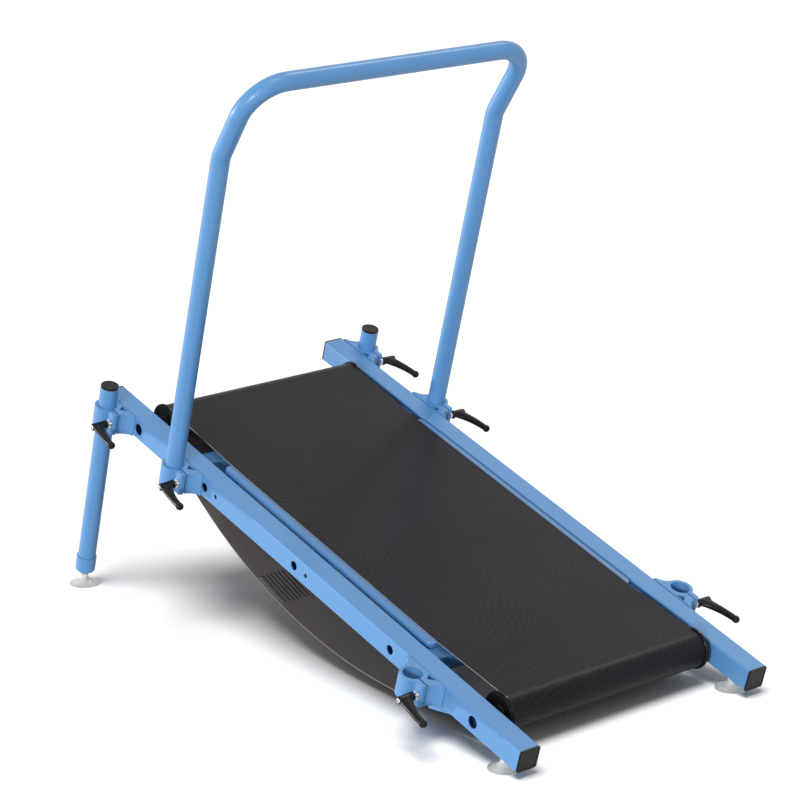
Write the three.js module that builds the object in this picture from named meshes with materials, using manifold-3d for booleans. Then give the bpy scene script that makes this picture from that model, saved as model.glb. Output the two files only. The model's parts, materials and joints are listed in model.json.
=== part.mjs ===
// A pool treadmill: an inclined walking frame with an endless belt, a bent handlebar,
// two adjustable legs and four swivelling suction feet. Sizes are in millimetres.
//
// The frame is drawn level and then tilted. Its own axes are u across the frame, v along
// the rails from their low end, and w square to the rails, with w = 0 on the rails' top.
// In the finished model +X is u, +Y runs towards the high end and +Z is up.
import * as THREE from "three";
import { mergeVertices } from "three/addons/utils/BufferGeometryUtils.js";
import Module from "manifold-3d";

const wasm = await Module();
wasm.setup();

// The whole frame
const tilt = THREE.MathUtils.degToRad(16.2);
const fit = 0.3; // left between two pieces that touch
const overrun = 6; // how far a cutting tool stands past a face
const weld = 0.0005; // vertices closer than this are one

// Side rails and their caps
const railLength = 1448;
const railSide = 50;
const railWall = 3;
const railCorner = 5;
const frameWidth = 666;
const capThickness = 4;
const capPlug = 18;
const capBevel = 1;
const railOuter = frameWidth / 2;
const railCentre = railOuter - railSide / 2;
const railInner = railOuter - railSide;
const railMiddle = -railSide / 2;

// Holes drilled in the outer wall of each rail
const axleHoleRadius = 13;
const bearerHoleRadius = 10;
const pilotHoleRadius = 5;
const pilotHoleStep = 40.5; // from a bearer's hole down to the small one beside it

// Walking board, and what carries it
const lowDeckGap = 211; // from the low roller's axis to the board
const highDeckGap = 239; // from the board to the high roller's axis
const deckRise = 4;
const deckThickness = 14;
const deckGap = 7; // open slit between the board and each rail
const deckCorner = 14;
const deckBevel = 4;
const crossSide = 40;
const crossWall = 2.5;
const crossCorner = 4;
const lowCrossLead = 30; // of the low cross tube before the board
const highCrossGap = 42; // from the board to the high cross tube
const lowBearerInset = 50;
const highBearerInset = 17;
const bearerCount = 3;
const bearerWall = 2;
const rollerInset = 141; // of each roller's axis from the rails' ends
const rollerPlaces = [rollerInset, railLength - rollerInset];
const deckStart = rollerPlaces[0] + lowDeckGap;
const deckEnd = rollerPlaces[1] - highDeckGap;
const deckLength = deckEnd - deckStart;
const lowCrossStart = deckStart - lowCrossLead;
const highCrossStart = deckEnd + highCrossGap;
const bearerPitch = (deckLength - lowBearerInset - highBearerInset) / (bearerCount - 1);
const deckUnderside = deckRise - deckThickness;
const deckHalfWidth = railInner - deckGap;
const crossTop = deckUnderside - fit;
const bearerSide = 2 * (crossTop - railMiddle);

// Running belt, rollers and axles
const beltThickness = 2.4;
const beltInset = 18; // blue ledge left bare between the belt and the board's edge
const rollerRadius = 37.3;
const rollerWall = 3;
const rollerWeb = 6;
const flangeOverhang = 4; // of the end flange past the belt
const flangeThickness = 9;
const flangeBevel = 1.5;
const hubRadius = 14;
const axleRadius = 8;
const axleNeckRadius = 6;
const axleNeck = 8;
const axleReach = 17; // into the rail's hollow
const beltHalfWidth = deckHalfWidth - beltInset;
const beltInnerRadius = rollerRadius + fit;
const beltOuterRadius = beltInnerRadius + beltThickness;
const flangeRadius = beltOuterRadius + flangeOverhang;

// Belly sheet under the deck, its louvres and its hangers
const bellyDepth = 198; // of the sheet's lowest line under the rails' top
const bellyEndDepth = 66.5; // of the sheet's two ends under the rails' top
const bellyEndInset = 189; // of the sheet's two ends from the rails' ends
const bellyGap = 13; // from each rail's inner face to the sheet's edge
const bellySheet = 2;
const louvreShift = 138; // of the louvres' middle from the sheet's, up the slope
const louvreLength = 92;
const louvreWidth = 4;
const louvrePitch = 10.3;
const louvreInset = 4;
const louvresPerSide = 9;
const hangerWall = 3;
const hangerFoot = 28;
const hangerTopDrop = 12;
const lowHangerGap = 9; // from the low hanger to the cross tube beside it
const highHangerGap = 6; // from the high hanger to the roller's flange beside it
const hangerWidth = 66;
const bellyMiddle = railLength / 2;
const bellyHalfSpan = bellyMiddle - bellyEndInset;
const bellySag = bellyDepth - bellyEndDepth;
const bellyRadius = (bellyHalfSpan ** 2 + bellySag ** 2) / (2 * bellySag);
const bellyHalfWidth = railInner - bellyGap;
const bellyAxis = bellyRadius - bellyDepth;
const louvreMiddle = bellyMiddle + louvreShift;
const lowHangerStart = lowCrossStart - lowHangerGap - hangerWidth;
const highHangerStart = rollerPlaces[1] - flangeRadius - highHangerGap - hangerWidth;

// Round tubes and the clamps that hold them
const tubeRadius = 20;
const tubeWall = 2.5;
const clampReach = 31; // of the tube's axis from the rail's outer face
const clampWall = 7.2;
const clampSlot = 3.5;
const clampEarWall = 11.25;
const clampEarMargin = 2; // of the ear past the washer
const clampEarCorner = 5;
const clampHeelStart = 25; // where the block's lower face starts to sweep in to the flange
const clampHeelWaist = 6.5;
const clampHeelDip = 6;
const clampFlangeUp = 51;
const clampFlangeDown = 66;
const clampFlangeThickness = 8;
const pocketInset = 3;
const pocketDepth = 14;
const pocketTop = 17;
const pocketTip = 28;
const pocketBottom = 42;
const lowClampPlace = 295;
const handleClampInset = 323;
const legClampInset = 59;
const boreRadius = tubeRadius + fit;
const clampRing = boreRadius + clampWall;
const tubeOffset = railOuter + clampReach;
const handleClampPlace = railLength - handleClampInset;
const legClampPlace = railLength - legClampInset;
const clampHeight = railSide;
const earFace = clampReach + clampSlot / 2 + clampEarWall;
const earShoulder = Math.sqrt(clampRing ** 2 - (earFace - clampReach) ** 2);

// Clamping levers and their steel studs
const screwRadius = 5;
const screwBite = 11.5; // thread in the clamp's inner ear
const washerRadius = 9;
const washerThickness = 3;
const washerGap = 2.8; // from the washer's rim to the swell of the clamp's ring
const collarRadius = 6.5;
const collarLength = 6;
const screwDrop = earShoulder + washerRadius + washerGap;
const clampEarDrop = screwDrop + washerRadius + clampEarMargin;
const leverHubLength = 36;
const leverHubRootRadius = 10;
const leverHubRadius = 8;
const leverBevel = 1.5;
const leverArmInset = 14; // of the arm's root from the hub's outer end
const leverArmReach = 80;
const leverArmLean = 17;
const leverArmRootRadius = 8.6;
const leverArmWaistRadius = 6.8;
const leverBallRadius = 8.3;
const buttonRadius = 6.2;
const buttonHeight = 2.5;
const leverRoot = earFace + washerThickness + collarLength + 2 * fit;
const leverTop = leverRoot + leverHubLength;

// Handlebar
const crankHeight = 725;
const crankAngle = THREE.MathUtils.degToRad(19.5);
const barHeight = 907;
const crankBend = 55;
const cornerBend = 85;

// Legs
const legRise = 50; // of the top cap over the rails' top
const legCapThickness = 5;
const legCapPlug = 12;
const sleeveWall = 2.7;
const sleeveLength = 40;
const sleeveBase = 6;

// Feet
const footPivotHeight = 24; // of the ball over the floor
const footRise = 8.9; // from the ball up to what the foot carries
const lowFootPlace = 60.7;
const footBallRadius = 5.5;
const footShankRadius = 4;
const footFlangeRadius = 8;
const footFlangeThickness = 2.5;
const footThread = 10;
const cupRadius = 35;
const cupLip = 1.6;
const cupLipWidth = 5;
const cupNeckRadius = 8.5;
const cupNeckHeight = 16;
const cupShoulder = 4.8; // height at which the cup's slope turns up
const cupHollowRadius = 9;
const cupHollowHeight = 8;

// How finely round shapes are cut
const tubeSides = 20;
const boreSides = 24;
const holeSides = 12;
const smallSides = 10;
const rollerSides = 24;
const cupSides = 18;
const cornerSteps = 3;
const rollerSteps = 18;
const bellySteps = 24;
const bendStep = THREE.MathUtils.degToRad(13);

// Materials
const bluePaint = { color: 0x7db4e6, roughness: 0.38, metalness: 0.1 };
const blackPlastic = { color: 0x1d1e20, roughness: 0.5, metalness: 0 };
const beltRubber = { color: 0x38393b, roughness: 0.75, metalness: 0 };
const bellyPlastic = { color: 0x5a5350, roughness: 0.6, metalness: 0 };
const steel = { color: 0xb9bcc0, roughness: 0.32, metalness: 1 };
const amber = { color: 0xc9a04a, roughness: 0.35, metalness: 0.6 };
const clearRubber = { color: 0xe9ebe8, roughness: 0.3, metalness: 0 };

// Points and outlines
const at = (x, y) => new THREE.Vector2(x, y);

function arc(centre, radius, from, to, steps) {
  return Array.from({ length: steps + 1 }, (_, i) => {
    const angle = from + ((to - from) * i) / steps;
    return at(centre.x + radius * Math.cos(angle), centre.y + radius * Math.sin(angle));
  });
}

const circle = (centre, radius, sides) =>
  arc(centre, radius, 0, 2 * Math.PI, sides).slice(0, sides);

function roundedRectangle(centre, width, height, radius) {
  const across = width / 2 - radius;
  const up = height / 2 - radius;
  const quarter = Math.PI / 2;
  const corners = [
    [across, up],
    [-across, up],
    [-across, -up],
    [across, -up],
  ];
  return corners.flatMap(([x, y], i) =>
    arc(at(centre.x + x, centre.y + y), radius, i * quarter, (i + 1) * quarter, cornerSteps),
  );
}

function outline(points, ...holes) {
  const shape = new THREE.Shape(points);
  shape.holes = holes.map((hole) => new THREE.Path(hole));
  return shape;
}

// The section of a square tube, drawn about a centre
function squareTube(centre, side, wall, corner) {
  const inner = Math.max(corner - wall, wall / 2);
  return outline(
    roundedRectangle(centre, side, side, corner),
    roundedRectangle(centre, side - 2 * wall, side - 2 * wall, inner),
  );
}

// Where a line from a point touches a circle, on the side that turn names: 1 left, -1 right
function tangentAngle(point, centre, radius, turn) {
  const away = point.clone().sub(centre);
  return away.angle() + turn * Math.acos(radius / away.length());
}

// Solids
const along = (shape, depth) =>
  new THREE.ExtrudeGeometry(shape, { depth, bevelEnabled: false });

// A shape drawn in v and w, run across the frame from -half to half
const acrossFrame = (shape, half) =>
  along(shape, 2 * half)
    .translate(0, 0, -half)
    .applyMatrix4(
      new THREE.Matrix4().makeBasis(
        new THREE.Vector3(0, 1, 0),
        new THREE.Vector3(0, 0, 1),
        new THREE.Vector3(1, 0, 0),
      ),
    );

// A shape drawn in u and w, run along the rails
const alongRail = (shape, from, to) =>
  along(shape, to - from)
    .rotateX(Math.PI / 2)
    .translate(0, to, 0);

// A shape drawn in u and v, run square to the rails
const upFrame = (shape, from, to) => along(shape, to - from).translate(0, 0, from);

// A profile of radius and height turned about the upright axis
const turned = (profile, sides) =>
  new THREE.LatheGeometry(
    profile.map(([radius, height]) => at(radius, height)),
    sides,
  ).rotateX(Math.PI / 2);

// The same turned about an axis across the frame
const turnedAcross = (profile, sides) => turned(profile, sides).rotateY(Math.PI / 2);

// A plain rod across the frame, for cutting holes
function rodAcross(radius, from, to, sides, v, w) {
  return upFrame(outline(circle(at(0, 0), radius, sides)), from, to)
    .rotateY(Math.PI / 2)
    .translate(0, v, w);
}

function toSolid(geometry) {
  const bare = geometry.clone();
  bare.deleteAttribute("normal");
  bare.deleteAttribute("uv");
  const merged = mergeVertices(bare, weld);
  return new wasm.Manifold(
    new wasm.Mesh({
      numProp: 3,
      vertProperties: merged.attributes.position.array,
      triVerts: new Uint32Array(merged.index.array),
    }),
  );
}

function toGeometry(solid) {
  const { vertProperties, triVerts } = solid.getMesh();
  const geometry = new THREE.BufferGeometry();
  geometry.setAttribute("position", new THREE.BufferAttribute(vertProperties, 3));
  geometry.setIndex(new THREE.BufferAttribute(triVerts, 1));
  geometry.computeVertexNormals();
  return geometry;
}

const cut = (body, ...tools) =>
  toGeometry(tools.reduce((solid, tool) => solid.subtract(toSolid(tool)), toSolid(body)));

const joined = (body, ...others) =>
  toGeometry(others.reduce((solid, other) => solid.add(toSolid(other)), toSolid(body)));

function piece(name, geometry, finish) {
  const mesh = new THREE.Mesh(geometry, new THREE.MeshStandardMaterial(finish));
  mesh.name = name;
  return mesh;
}

// The places along the rails that other pieces fix
const bearerPlaces = Array.from(
  { length: bearerCount },
  (_, i) => deckStart + lowBearerInset + i * bearerPitch,
);

// The two sides of the frame: far is +u, near is -u
const sides = [
  { word: "left", sign: -1 },
  { word: "right", sign: 1 },
];

// How high the rails' low end stands, from the foot under it
const originHeight =
  footPivotHeight - lowFootPlace * Math.sin(tilt) + (railSide + footRise) * Math.cos(tilt);

// The w at which a leg's ball lies, on the leg's own axis
const legPivot =
  (footPivotHeight - originHeight - legClampPlace * Math.sin(tilt)) / Math.cos(tilt);

// Rails and caps
function rail({ word, sign }) {
  const section = squareTube(at(sign * railCentre, railMiddle), railSide, railWall, railCorner);
  const outer = [railOuter - railWall - overrun, railOuter + overrun];
  const inner = [railInner - overrun, railInner + railWall + overrun];
  const drill = (radius, [from, to], v) =>
    sign > 0
      ? rodAcross(radius, from, to, holeSides, v, railMiddle)
      : rodAcross(radius, -to, -from, holeSides, v, railMiddle);
  const footHole = upFrame(
    outline(circle(at(sign * railCentre, lowFootPlace), footShankRadius + fit, smallSides)),
    -railSide - overrun,
    -railSide + railWall + overrun,
  );
  const body = alongRail(section, capThickness + fit, railLength - capThickness - fit);
  return piece(
    `rail_${word}`,
    cut(
      body,
      footHole,
      ...rollerPlaces.map((v) => drill(axleHoleRadius, outer, v)),
      ...rollerPlaces.map((v) => drill(axleRadius + fit, inner, v)),
      ...bearerPlaces.map((v) => drill(bearerHoleRadius, outer, v)),
      ...bearerPlaces.slice(1).map((v) => drill(pilotHoleRadius, outer, v - pilotHoleStep)),
    ),
    bluePaint,
  );
}

function railCap({ word, sign }, end) {
  const centre = at(sign * railCentre, railMiddle);
  const plugSide = railSide - 2 * railWall - 2 * fit;
  const face = new THREE.ExtrudeGeometry(
    outline(
      roundedRectangle(centre, railSide - 2 * capBevel, railSide - 2 * capBevel, railCorner - capBevel),
    ),
    {
      depth: capThickness - 2 * capBevel,
      bevelThickness: capBevel,
      bevelSize: capBevel,
      bevelSegments: 1,
    },
  )
    .rotateX(Math.PI / 2)
    .translate(0, capThickness - capBevel, 0);
  const plugShape = outline(roundedRectangle(centre, plugSide, plugSide, railCorner / 2));
  const plug = alongRail(plugShape, capThickness / 2, capThickness + capPlug);
  const cap = joined(face, plug);
  if (end === "high") {
    cap.translate(-centre.x, 0, 0).rotateZ(Math.PI).translate(centre.x, railLength, 0);
  }
  return piece(`rail_cap_${end}_${word}`, cap, blackPlastic);
}

// Cross tubes, bearers and the walking board
function crossTube(name, start) {
  const centre = at(start + crossSide / 2, crossTop - crossSide / 2);
  const section = squareTube(centre, crossSide, crossWall, crossCorner);
  return piece(name, acrossFrame(section, railInner - fit), bluePaint);
}

function deckBearer(v, i) {
  const section = squareTube(at(v, railMiddle), bearerSide, bearerWall, 2 * bearerWall);
  return piece(`deck_bearer_${i + 1}`, acrossFrame(section, railInner - fit), bluePaint);
}

function deckBoard() {
  const centre = at(0, deckStart + deckLength / 2);
  const width = 2 * (deckHalfWidth - deckBevel);
  const shape = outline(
    roundedRectangle(centre, width, deckLength - 2 * deckBevel, deckCorner - deckBevel),
  );
  const board = new THREE.ExtrudeGeometry(shape, {
    depth: deckThickness - 2 * deckBevel,
    bevelThickness: deckBevel,
    bevelSize: deckBevel,
    bevelSegments: cornerSteps,
  }).translate(0, 0, deckUnderside + deckBevel);
  return piece("deck_board", board, bluePaint);
}

// The belt's path: over the board, round both rollers and back under the belly sheet.
// It is drawn for the belt's outer face, or for a face that lies inset under it.
function beltPath(inset) {
  const radius = beltOuterRadius - inset;
  const top = deckRise + fit + beltThickness - inset;
  const underRadius = bellyRadius + bellySheet + fit + beltThickness - inset;
  const [low, high] = rollerPlaces.map((v) => at(v, railMiddle));
  const belly = at(bellyMiddle, bellyAxis);
  const lowCorner = at(deckStart, top);
  const highCorner = at(deckEnd, top);
  const lowTop = tangentAngle(lowCorner, low, radius, 1);
  const highTop = tangentAngle(highCorner, high, radius, -1);
  const under = (roller, turn) => {
    const across = roller.clone().sub(belly);
    return across.angle() + turn * Math.acos((underRadius - radius) / across.length());
  };
  const lowUnder = under(low, 1);
  const highUnder = under(high, -1);
  const turnOf = (angle) => THREE.MathUtils.euclideanModulo(angle, 2 * Math.PI);
  return [
    lowCorner,
    ...arc(low, radius, turnOf(lowTop), turnOf(lowUnder), rollerSteps),
    ...arc(belly, underRadius, turnOf(lowUnder), turnOf(highUnder), bellySteps),
    ...arc(high, radius, turnOf(highUnder), turnOf(highTop) + 2 * Math.PI, rollerSteps),
    highCorner,
  ];
}

function runningBelt() {
  const loop = outline(beltPath(0), beltPath(beltThickness));
  return piece("running_belt", acrossFrame(loop, beltHalfWidth), beltRubber);
}

// Rollers
function roller(end) {
  const half = beltHalfWidth;
  const bore = axleRadius + fit;
  const tubeInner = rollerRadius - rollerWall;
  const shell = turnedAcross(
    [
      [bore, -half],
      [rollerRadius, -half],
      [rollerRadius, half],
      [bore, half],
      [bore, half - rollerWeb],
      [tubeInner, half - rollerWeb],
      [tubeInner, rollerWeb - half],
      [bore, rollerWeb - half],
      [bore, -half],
    ],
    rollerSides,
  );
  return piece(`roller_${end}`, shell, steel);
}

function rollerFlange(end, { word, sign }) {
  const bore = axleRadius + fit;
  const start = beltHalfWidth + fit;
  const face = start + flangeThickness;
  const disc = turnedAcross(
    [
      [bore, start],
      [flangeRadius - flangeBevel, start],
      [flangeRadius, start + flangeBevel],
      [flangeRadius, face - flangeBevel],
      [flangeRadius - flangeBevel, face],
      [hubRadius, face],
      [hubRadius, railInner - fit],
      [bore, railInner - fit],
      [bore, start],
    ],
    rollerSides,
  );
  if (sign < 0) disc.rotateZ(Math.PI);
  return piece(`roller_flange_${end}_${word}`, disc, blackPlastic);
}

function rollerAxle(end) {
  const tip = railInner + railWall + axleReach;
  const neck = tip - axleNeck;
  const rod = turnedAcross(
    [
      [0, -tip],
      [axleNeckRadius, -tip],
      [axleNeckRadius, -neck],
      [axleRadius, -neck],
      [axleRadius, neck],
      [axleNeckRadius, neck],
      [axleNeckRadius, tip],
      [0, tip],
    ],
    holeSides,
  );
  return piece(`roller_axle_${end}`, rod, steel);
}

function rollerSet(end, v) {
  const set = new THREE.Group();
  set.position.set(0, v, railMiddle);
  set.add(roller(end), rollerAxle(end), ...sides.map((side) => rollerFlange(end, side)));
  return set;
}

// Belly sheet and its hangers
const bellyPoint = (radius) => (v) =>
  at(v, bellyAxis - Math.sqrt(radius ** 2 - (v - bellyMiddle) ** 2));

function bellySheetPiece() {
  const spread = Math.asin(bellyHalfSpan / bellyRadius);
  const down = -Math.PI / 2;
  const centre = at(bellyMiddle, bellyAxis);
  const section = outline([
    ...arc(centre, bellyRadius, down - spread, down + spread, bellySteps),
    ...arc(centre, bellyRadius + bellySheet, down + spread, down - spread, bellySteps),
  ]);
  const low = bellyPoint(bellyRadius + bellySheet)(louvreMiddle).y - louvreLength / 2;
  const louvres = sides.flatMap(({ sign }) =>
    Array.from({ length: louvresPerSide }, (_, i) => {
      const u = sign * (bellyHalfWidth - louvreInset - louvreWidth / 2 - i * louvrePitch);
      const slot = roundedRectangle(at(u, louvreMiddle), louvreWidth, louvreLength, louvreWidth / 2);
      return upFrame(outline(slot), low, low + louvreLength);
    }),
  );
  const sheet = acrossFrame(section, bellyHalfWidth);
  return piece("belly_sheet", cut(sheet, ...louvres), bellyPlastic);
}

function bellyHanger(end, start, { word, sign }) {
  const stop = start + hangerWidth;
  const floor = (lift) =>
    Array.from({ length: cornerSteps + 1 }, (_, i) =>
      bellyPoint(bellyRadius - lift)(start + (hangerWidth * i) / cornerSteps),
    );
  const plateShape = outline([
    ...floor(fit),
    at(stop, -hangerTopDrop),
    at(start, -hangerTopDrop),
  ]);
  const footShape = outline([...floor(fit), ...floor(fit + hangerWall).reverse()]);
  const face = railInner - fit;
  const plate = acrossFrame(plateShape, hangerWall / 2).translate(face - hangerWall / 2, 0, 0);
  const foot = acrossFrame(footShape, (hangerFoot + hangerWall) / 2).translate(
    face - (hangerFoot + hangerWall) / 2,
    0,
    0,
  );
  const mirrored = sign < 0 ? [-1, 1, 1] : [1, 1, 1];
  const hanger = joined(plate, foot).scale(...mirrored);
  if (sign < 0) turnInsideOut(hanger);
  return piece(`belly_hanger_${end}_${word}`, hanger, bluePaint);
}

// Restores outward faces after a mirroring
function turnInsideOut(geometry) {
  const index = geometry.index.array;
  for (let i = 0; i < index.length; i += 3) {
    [index[i + 1], index[i + 2]] = [index[i + 2], index[i + 1]];
  }
  geometry.computeVertexNormals();
}

// The clamp and what it carries are drawn for the right side, with x out from the rail's
// outer face, y along the rail from the tube's axis and z from the clamp's mid-height.
// They are alike above and below, so half a turn about y makes the left side's.
function clampOutline() {
  const centre = at(clampReach, 0);
  const tip = at(clampFlangeThickness, clampFlangeUp - clampFlangeThickness / 2);
  const hollow = at(clampFlangeThickness + clampFlangeThickness / 2, clampRing + clampWall / 2);
  const ringStart = tangentAngle(hollow, centre, clampRing, -1);
  const earOffset = earFace - clampReach;
  const ringEnd = -Math.acos(earOffset / clampRing);
  const touch = arc(centre, clampRing, ringStart, ringStart, 1)[0];
  const sweep = new THREE.QuadraticBezierCurve(tip, hollow, touch);
  const heel = new THREE.QuadraticBezierCurve(
    at(clampHeelStart, -clampEarDrop),
    at(clampHeelWaist, -clampEarDrop - clampHeelDip),
    at(fit + clampFlangeThickness / 4, -clampFlangeDown),
  );
  const earCorner = at(earFace - clampEarCorner, clampEarCorner - clampEarDrop);
  return [
    at(fit, clampFlangeUp),
    at(fit + clampFlangeThickness / 2, clampFlangeUp),
    ...sweep.getPoints(2 * cornerSteps),
    ...arc(centre, clampRing, ringStart, ringEnd, 2 * cornerSteps + 2),
    ...arc(earCorner, clampEarCorner, 0, -Math.PI / 2, cornerSteps),
    ...heel.getPoints(2 * cornerSteps),
    at(fit, -clampFlangeDown),
  ];
}

function clampBody() {
  const half = clampHeight / 2;
  const pocket = [
    at(pocketInset, -pocketTop),
    at(pocketInset, -pocketBottom),
    at(pocketInset + pocketDepth, -pocketTip),
  ];
  const body = upFrame(outline(clampOutline(), pocket), -half, half);
  const bore = circle(at(clampReach, 0), boreRadius, boreSides);
  const slot = [
    at(clampReach - clampSlot / 2, 0),
    at(clampReach + clampSlot / 2, 0),
    at(clampReach + clampSlot / 2, -clampEarDrop - overrun),
    at(clampReach - clampSlot / 2, -clampEarDrop - overrun),
  ];
  const top = half + overrun;
  const threadEnd = clampReach - clampSlot / 2 - screwBite - fit;
  return cut(
    body,
    upFrame(outline(bore), -top, top),
    upFrame(outline(slot), -top, top),
    rodAcross(screwRadius + fit, threadEnd, earFace + overrun, holeSides, -screwDrop, 0),
  );
}

// The steel stud: thread in the clamp, washer and collar on its outer ear, and a button
// at the lever's end
function clampStud() {
  const start = clampReach - clampSlot / 2 - screwBite;
  const washer = earFace + fit;
  const washerTop = washer + washerThickness;
  const collarTop = washerTop + collarLength;
  const button = leverTop + fit;
  return turnedAcross(
    [
      [0, start],
      [screwRadius, start],
      [screwRadius, washer],
      [washerRadius, washer],
      [washerRadius, washerTop],
      [collarRadius, washerTop],
      [collarRadius, collarTop],
      [screwRadius, collarTop],
      [screwRadius, button],
      [buttonRadius, button],
      [buttonRadius, button + buttonHeight / 2],
      [buttonRadius - buttonHeight / 2, button + buttonHeight],
      [0, button + buttonHeight],
    ],
    smallSides,
  ).translate(0, -screwDrop, 0);
}

// The lever: a hub round the stud, and an arm with a ball that points down the rail
function clampLever() {
  const bore = screwRadius + fit;
  const hub = turnedAcross(
    [
      [bore, leverRoot],
      [leverHubRootRadius, leverRoot],
      [leverHubRadius, leverTop - leverBevel],
      [leverHubRadius - leverBevel, leverTop],
      [bore, leverTop],
      [bore, leverRoot],
    ],
    smallSides,
  );
  const armLength = Math.hypot(leverArmReach, leverArmLean);
  const lean = Math.atan2(leverArmLean, leverArmReach);
  const ball = arc(at(0, armLength), leverBallRadius, -Math.PI / 4, Math.PI / 2, cornerSteps);
  const arm = turned(
    [
      [0, 0],
      [leverArmRootRadius, 0],
      [leverArmRootRadius, leverHubRadius],
      [leverArmWaistRadius, armLength / 2],
      ...ball.slice(0, -1).map((p) => [p.x, p.y]),
      [0, armLength + leverBallRadius],
    ],
    smallSides,
  )
    .rotateX(Math.PI / 2)
    .rotateZ(lean)
    .translate(leverTop - leverArmInset, 0, 0);
  const core = rodAcross(bore, leverRoot - overrun, leverTop + overrun, smallSides, 0, 0);
  return cut(joined(hub, arm), core).translate(0, -screwDrop, 0);
}

function clampSet(place, v, { word, sign }) {
  const set = new THREE.Group();
  set.position.set(sign * railOuter, v, railMiddle);
  if (sign < 0) set.rotation.y = Math.PI;
  set.add(
    piece(`clamp_${place}_${word}`, clampBody(), bluePaint),
    piece(`clamp_stud_${place}_${word}`, clampStud(), steel),
    piece(`clamp_lever_${place}_${word}`, clampLever(), blackPlastic),
  );
  return set;
}

// A route given by stations, each with its place and direction, so that a straight run
// takes no more of them than its two ends
class Route extends THREE.Curve {
  constructor(stations) {
    super();
    this.stations = stations;
  }
  station(t) {
    return this.stations[Math.round(t * (this.stations.length - 1))];
  }
  getPointAt(t) {
    return this.station(t).place.clone();
  }
  getTangentAt(t) {
    return this.station(t).direction.clone();
  }
}

// Stations along a bent line whose inner corners are rounded by the given radii
function bentLine(corners, radii) {
  const unit = (from, to) => to.clone().sub(from).normalize();
  const stations = [{ place: corners[0], direction: unit(corners[0], corners[1]) }];
  radii.forEach((radius, i) => {
    const corner = corners[i + 1];
    const arrive = unit(corners[i], corner);
    const leave = unit(corner, corners[i + 2]);
    const angle = arrive.angleTo(leave);
    const reach = radius * Math.tan(angle / 2);
    const inward = leave.clone().sub(arrive).normalize();
    const centre = corner.clone().addScaledVector(inward, Math.hypot(radius, reach));
    const start = corner.clone().addScaledVector(arrive, -reach).sub(centre);
    const axis = arrive.clone().cross(leave).normalize();
    const steps = Math.ceil(angle / bendStep);
    for (let k = 0; k <= steps; k += 1) {
      const turn = (angle * k) / steps;
      stations.push({
        place: start.clone().applyAxisAngle(axis, turn).add(centre),
        direction: arrive.clone().applyAxisAngle(axis, turn),
      });
    }
  });
  const last = corners.length - 1;
  stations.push({ place: corners[last], direction: unit(corners[last - 1], corners[last]) });
  return stations;
}

function handlebar() {
  const back = Math.tan(crankAngle) * (barHeight - crankHeight);
  const upright = (sign) => [
    new THREE.Vector3(sign * tubeOffset, handleClampPlace, -clampHeight),
    new THREE.Vector3(sign * tubeOffset, handleClampPlace, crankHeight),
    new THREE.Vector3(sign * tubeOffset, handleClampPlace - back, barHeight),
  ];
  const corners = [...upright(-1), ...upright(1).reverse()];
  const stations = bentLine(corners, [crankBend, cornerBend, cornerBend, crankBend]);
  const section = outline(
    circle(at(0, 0), tubeRadius, tubeSides),
    circle(at(0, 0), tubeRadius - tubeWall, tubeSides / 2),
  );
  const tube = new THREE.ExtrudeGeometry(section, {
    steps: stations.length - 1,
    extrudePath: new Route(stations),
  });
  return piece("handlebar", tube, bluePaint);
}

// Legs
function leg({ word, sign }) {
  const set = new THREE.Group();
  set.position.set(sign * tubeOffset, legClampPlace, 0);
  const sleeveFoot = legPivot + footRise;
  const tubeInner = tubeRadius - tubeWall;
  const tubeFoot = sleeveFoot + sleeveBase + fit;
  const tubeTop = legRise - legCapThickness - fit;
  const tube = turned(
    [
      [tubeInner, tubeFoot],
      [tubeRadius, tubeFoot],
      [tubeRadius, tubeTop],
      [tubeInner, tubeTop],
      [tubeInner, tubeFoot],
    ],
    tubeSides,
  );
  const plug = tubeInner - fit;
  const cap = turned(
    [
      [0, tubeTop - legCapPlug],
      [plug, tubeTop - legCapPlug],
      [plug, tubeTop + fit],
      [tubeRadius, tubeTop + fit],
      [tubeRadius, legRise - legCapThickness / 3],
      [tubeRadius - legCapThickness / 3, legRise],
      [0, legRise],
    ],
    tubeSides,
  );
  const sleeveInner = tubeRadius + fit;
  const sleeve = turned(
    [
      [footShankRadius + fit, sleeveFoot],
      [sleeveInner + sleeveWall, sleeveFoot],
      [sleeveInner + sleeveWall, sleeveFoot + sleeveLength],
      [sleeveInner, sleeveFoot + sleeveLength],
      [sleeveInner, sleeveFoot + sleeveBase],
      [footShankRadius + fit, sleeveFoot + sleeveBase],
      [footShankRadius + fit, sleeveFoot],
    ],
    tubeSides,
  );
  const stud = footStud(`foot_stud_leg_${word}`);
  stud.position.z = legPivot;
  set.add(
    piece(`leg_${word}`, tube, bluePaint),
    piece(`leg_cap_${word}`, cap, blackPlastic),
    piece(`leg_sleeve_${word}`, sleeve, bluePaint),
    stud,
  );
  return set;
}

// Foot stud, drawn about its ball: shank, flange under what it carries, thread above
function footStud(name) {
  const seat = footRise - fit;
  const rise = Math.asin(footShankRadius / footBallRadius);
  const down = -Math.PI / 2;
  const ball = arc(at(0, 0), footBallRadius, down, Math.PI / 2 - rise, cornerSteps + 1);
  const stud = turned(
    [
      [0, -footBallRadius],
      ...ball.slice(1).map((p) => [p.x, p.y]),
      [footShankRadius, seat - footFlangeThickness],
      [footFlangeRadius, seat - footFlangeThickness],
      [footFlangeRadius, seat],
      [footShankRadius, seat],
      [footShankRadius, footRise + footThread],
      [0, footRise + footThread],
    ],
    smallSides,
  );
  return piece(name, stud, amber);
}

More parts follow.
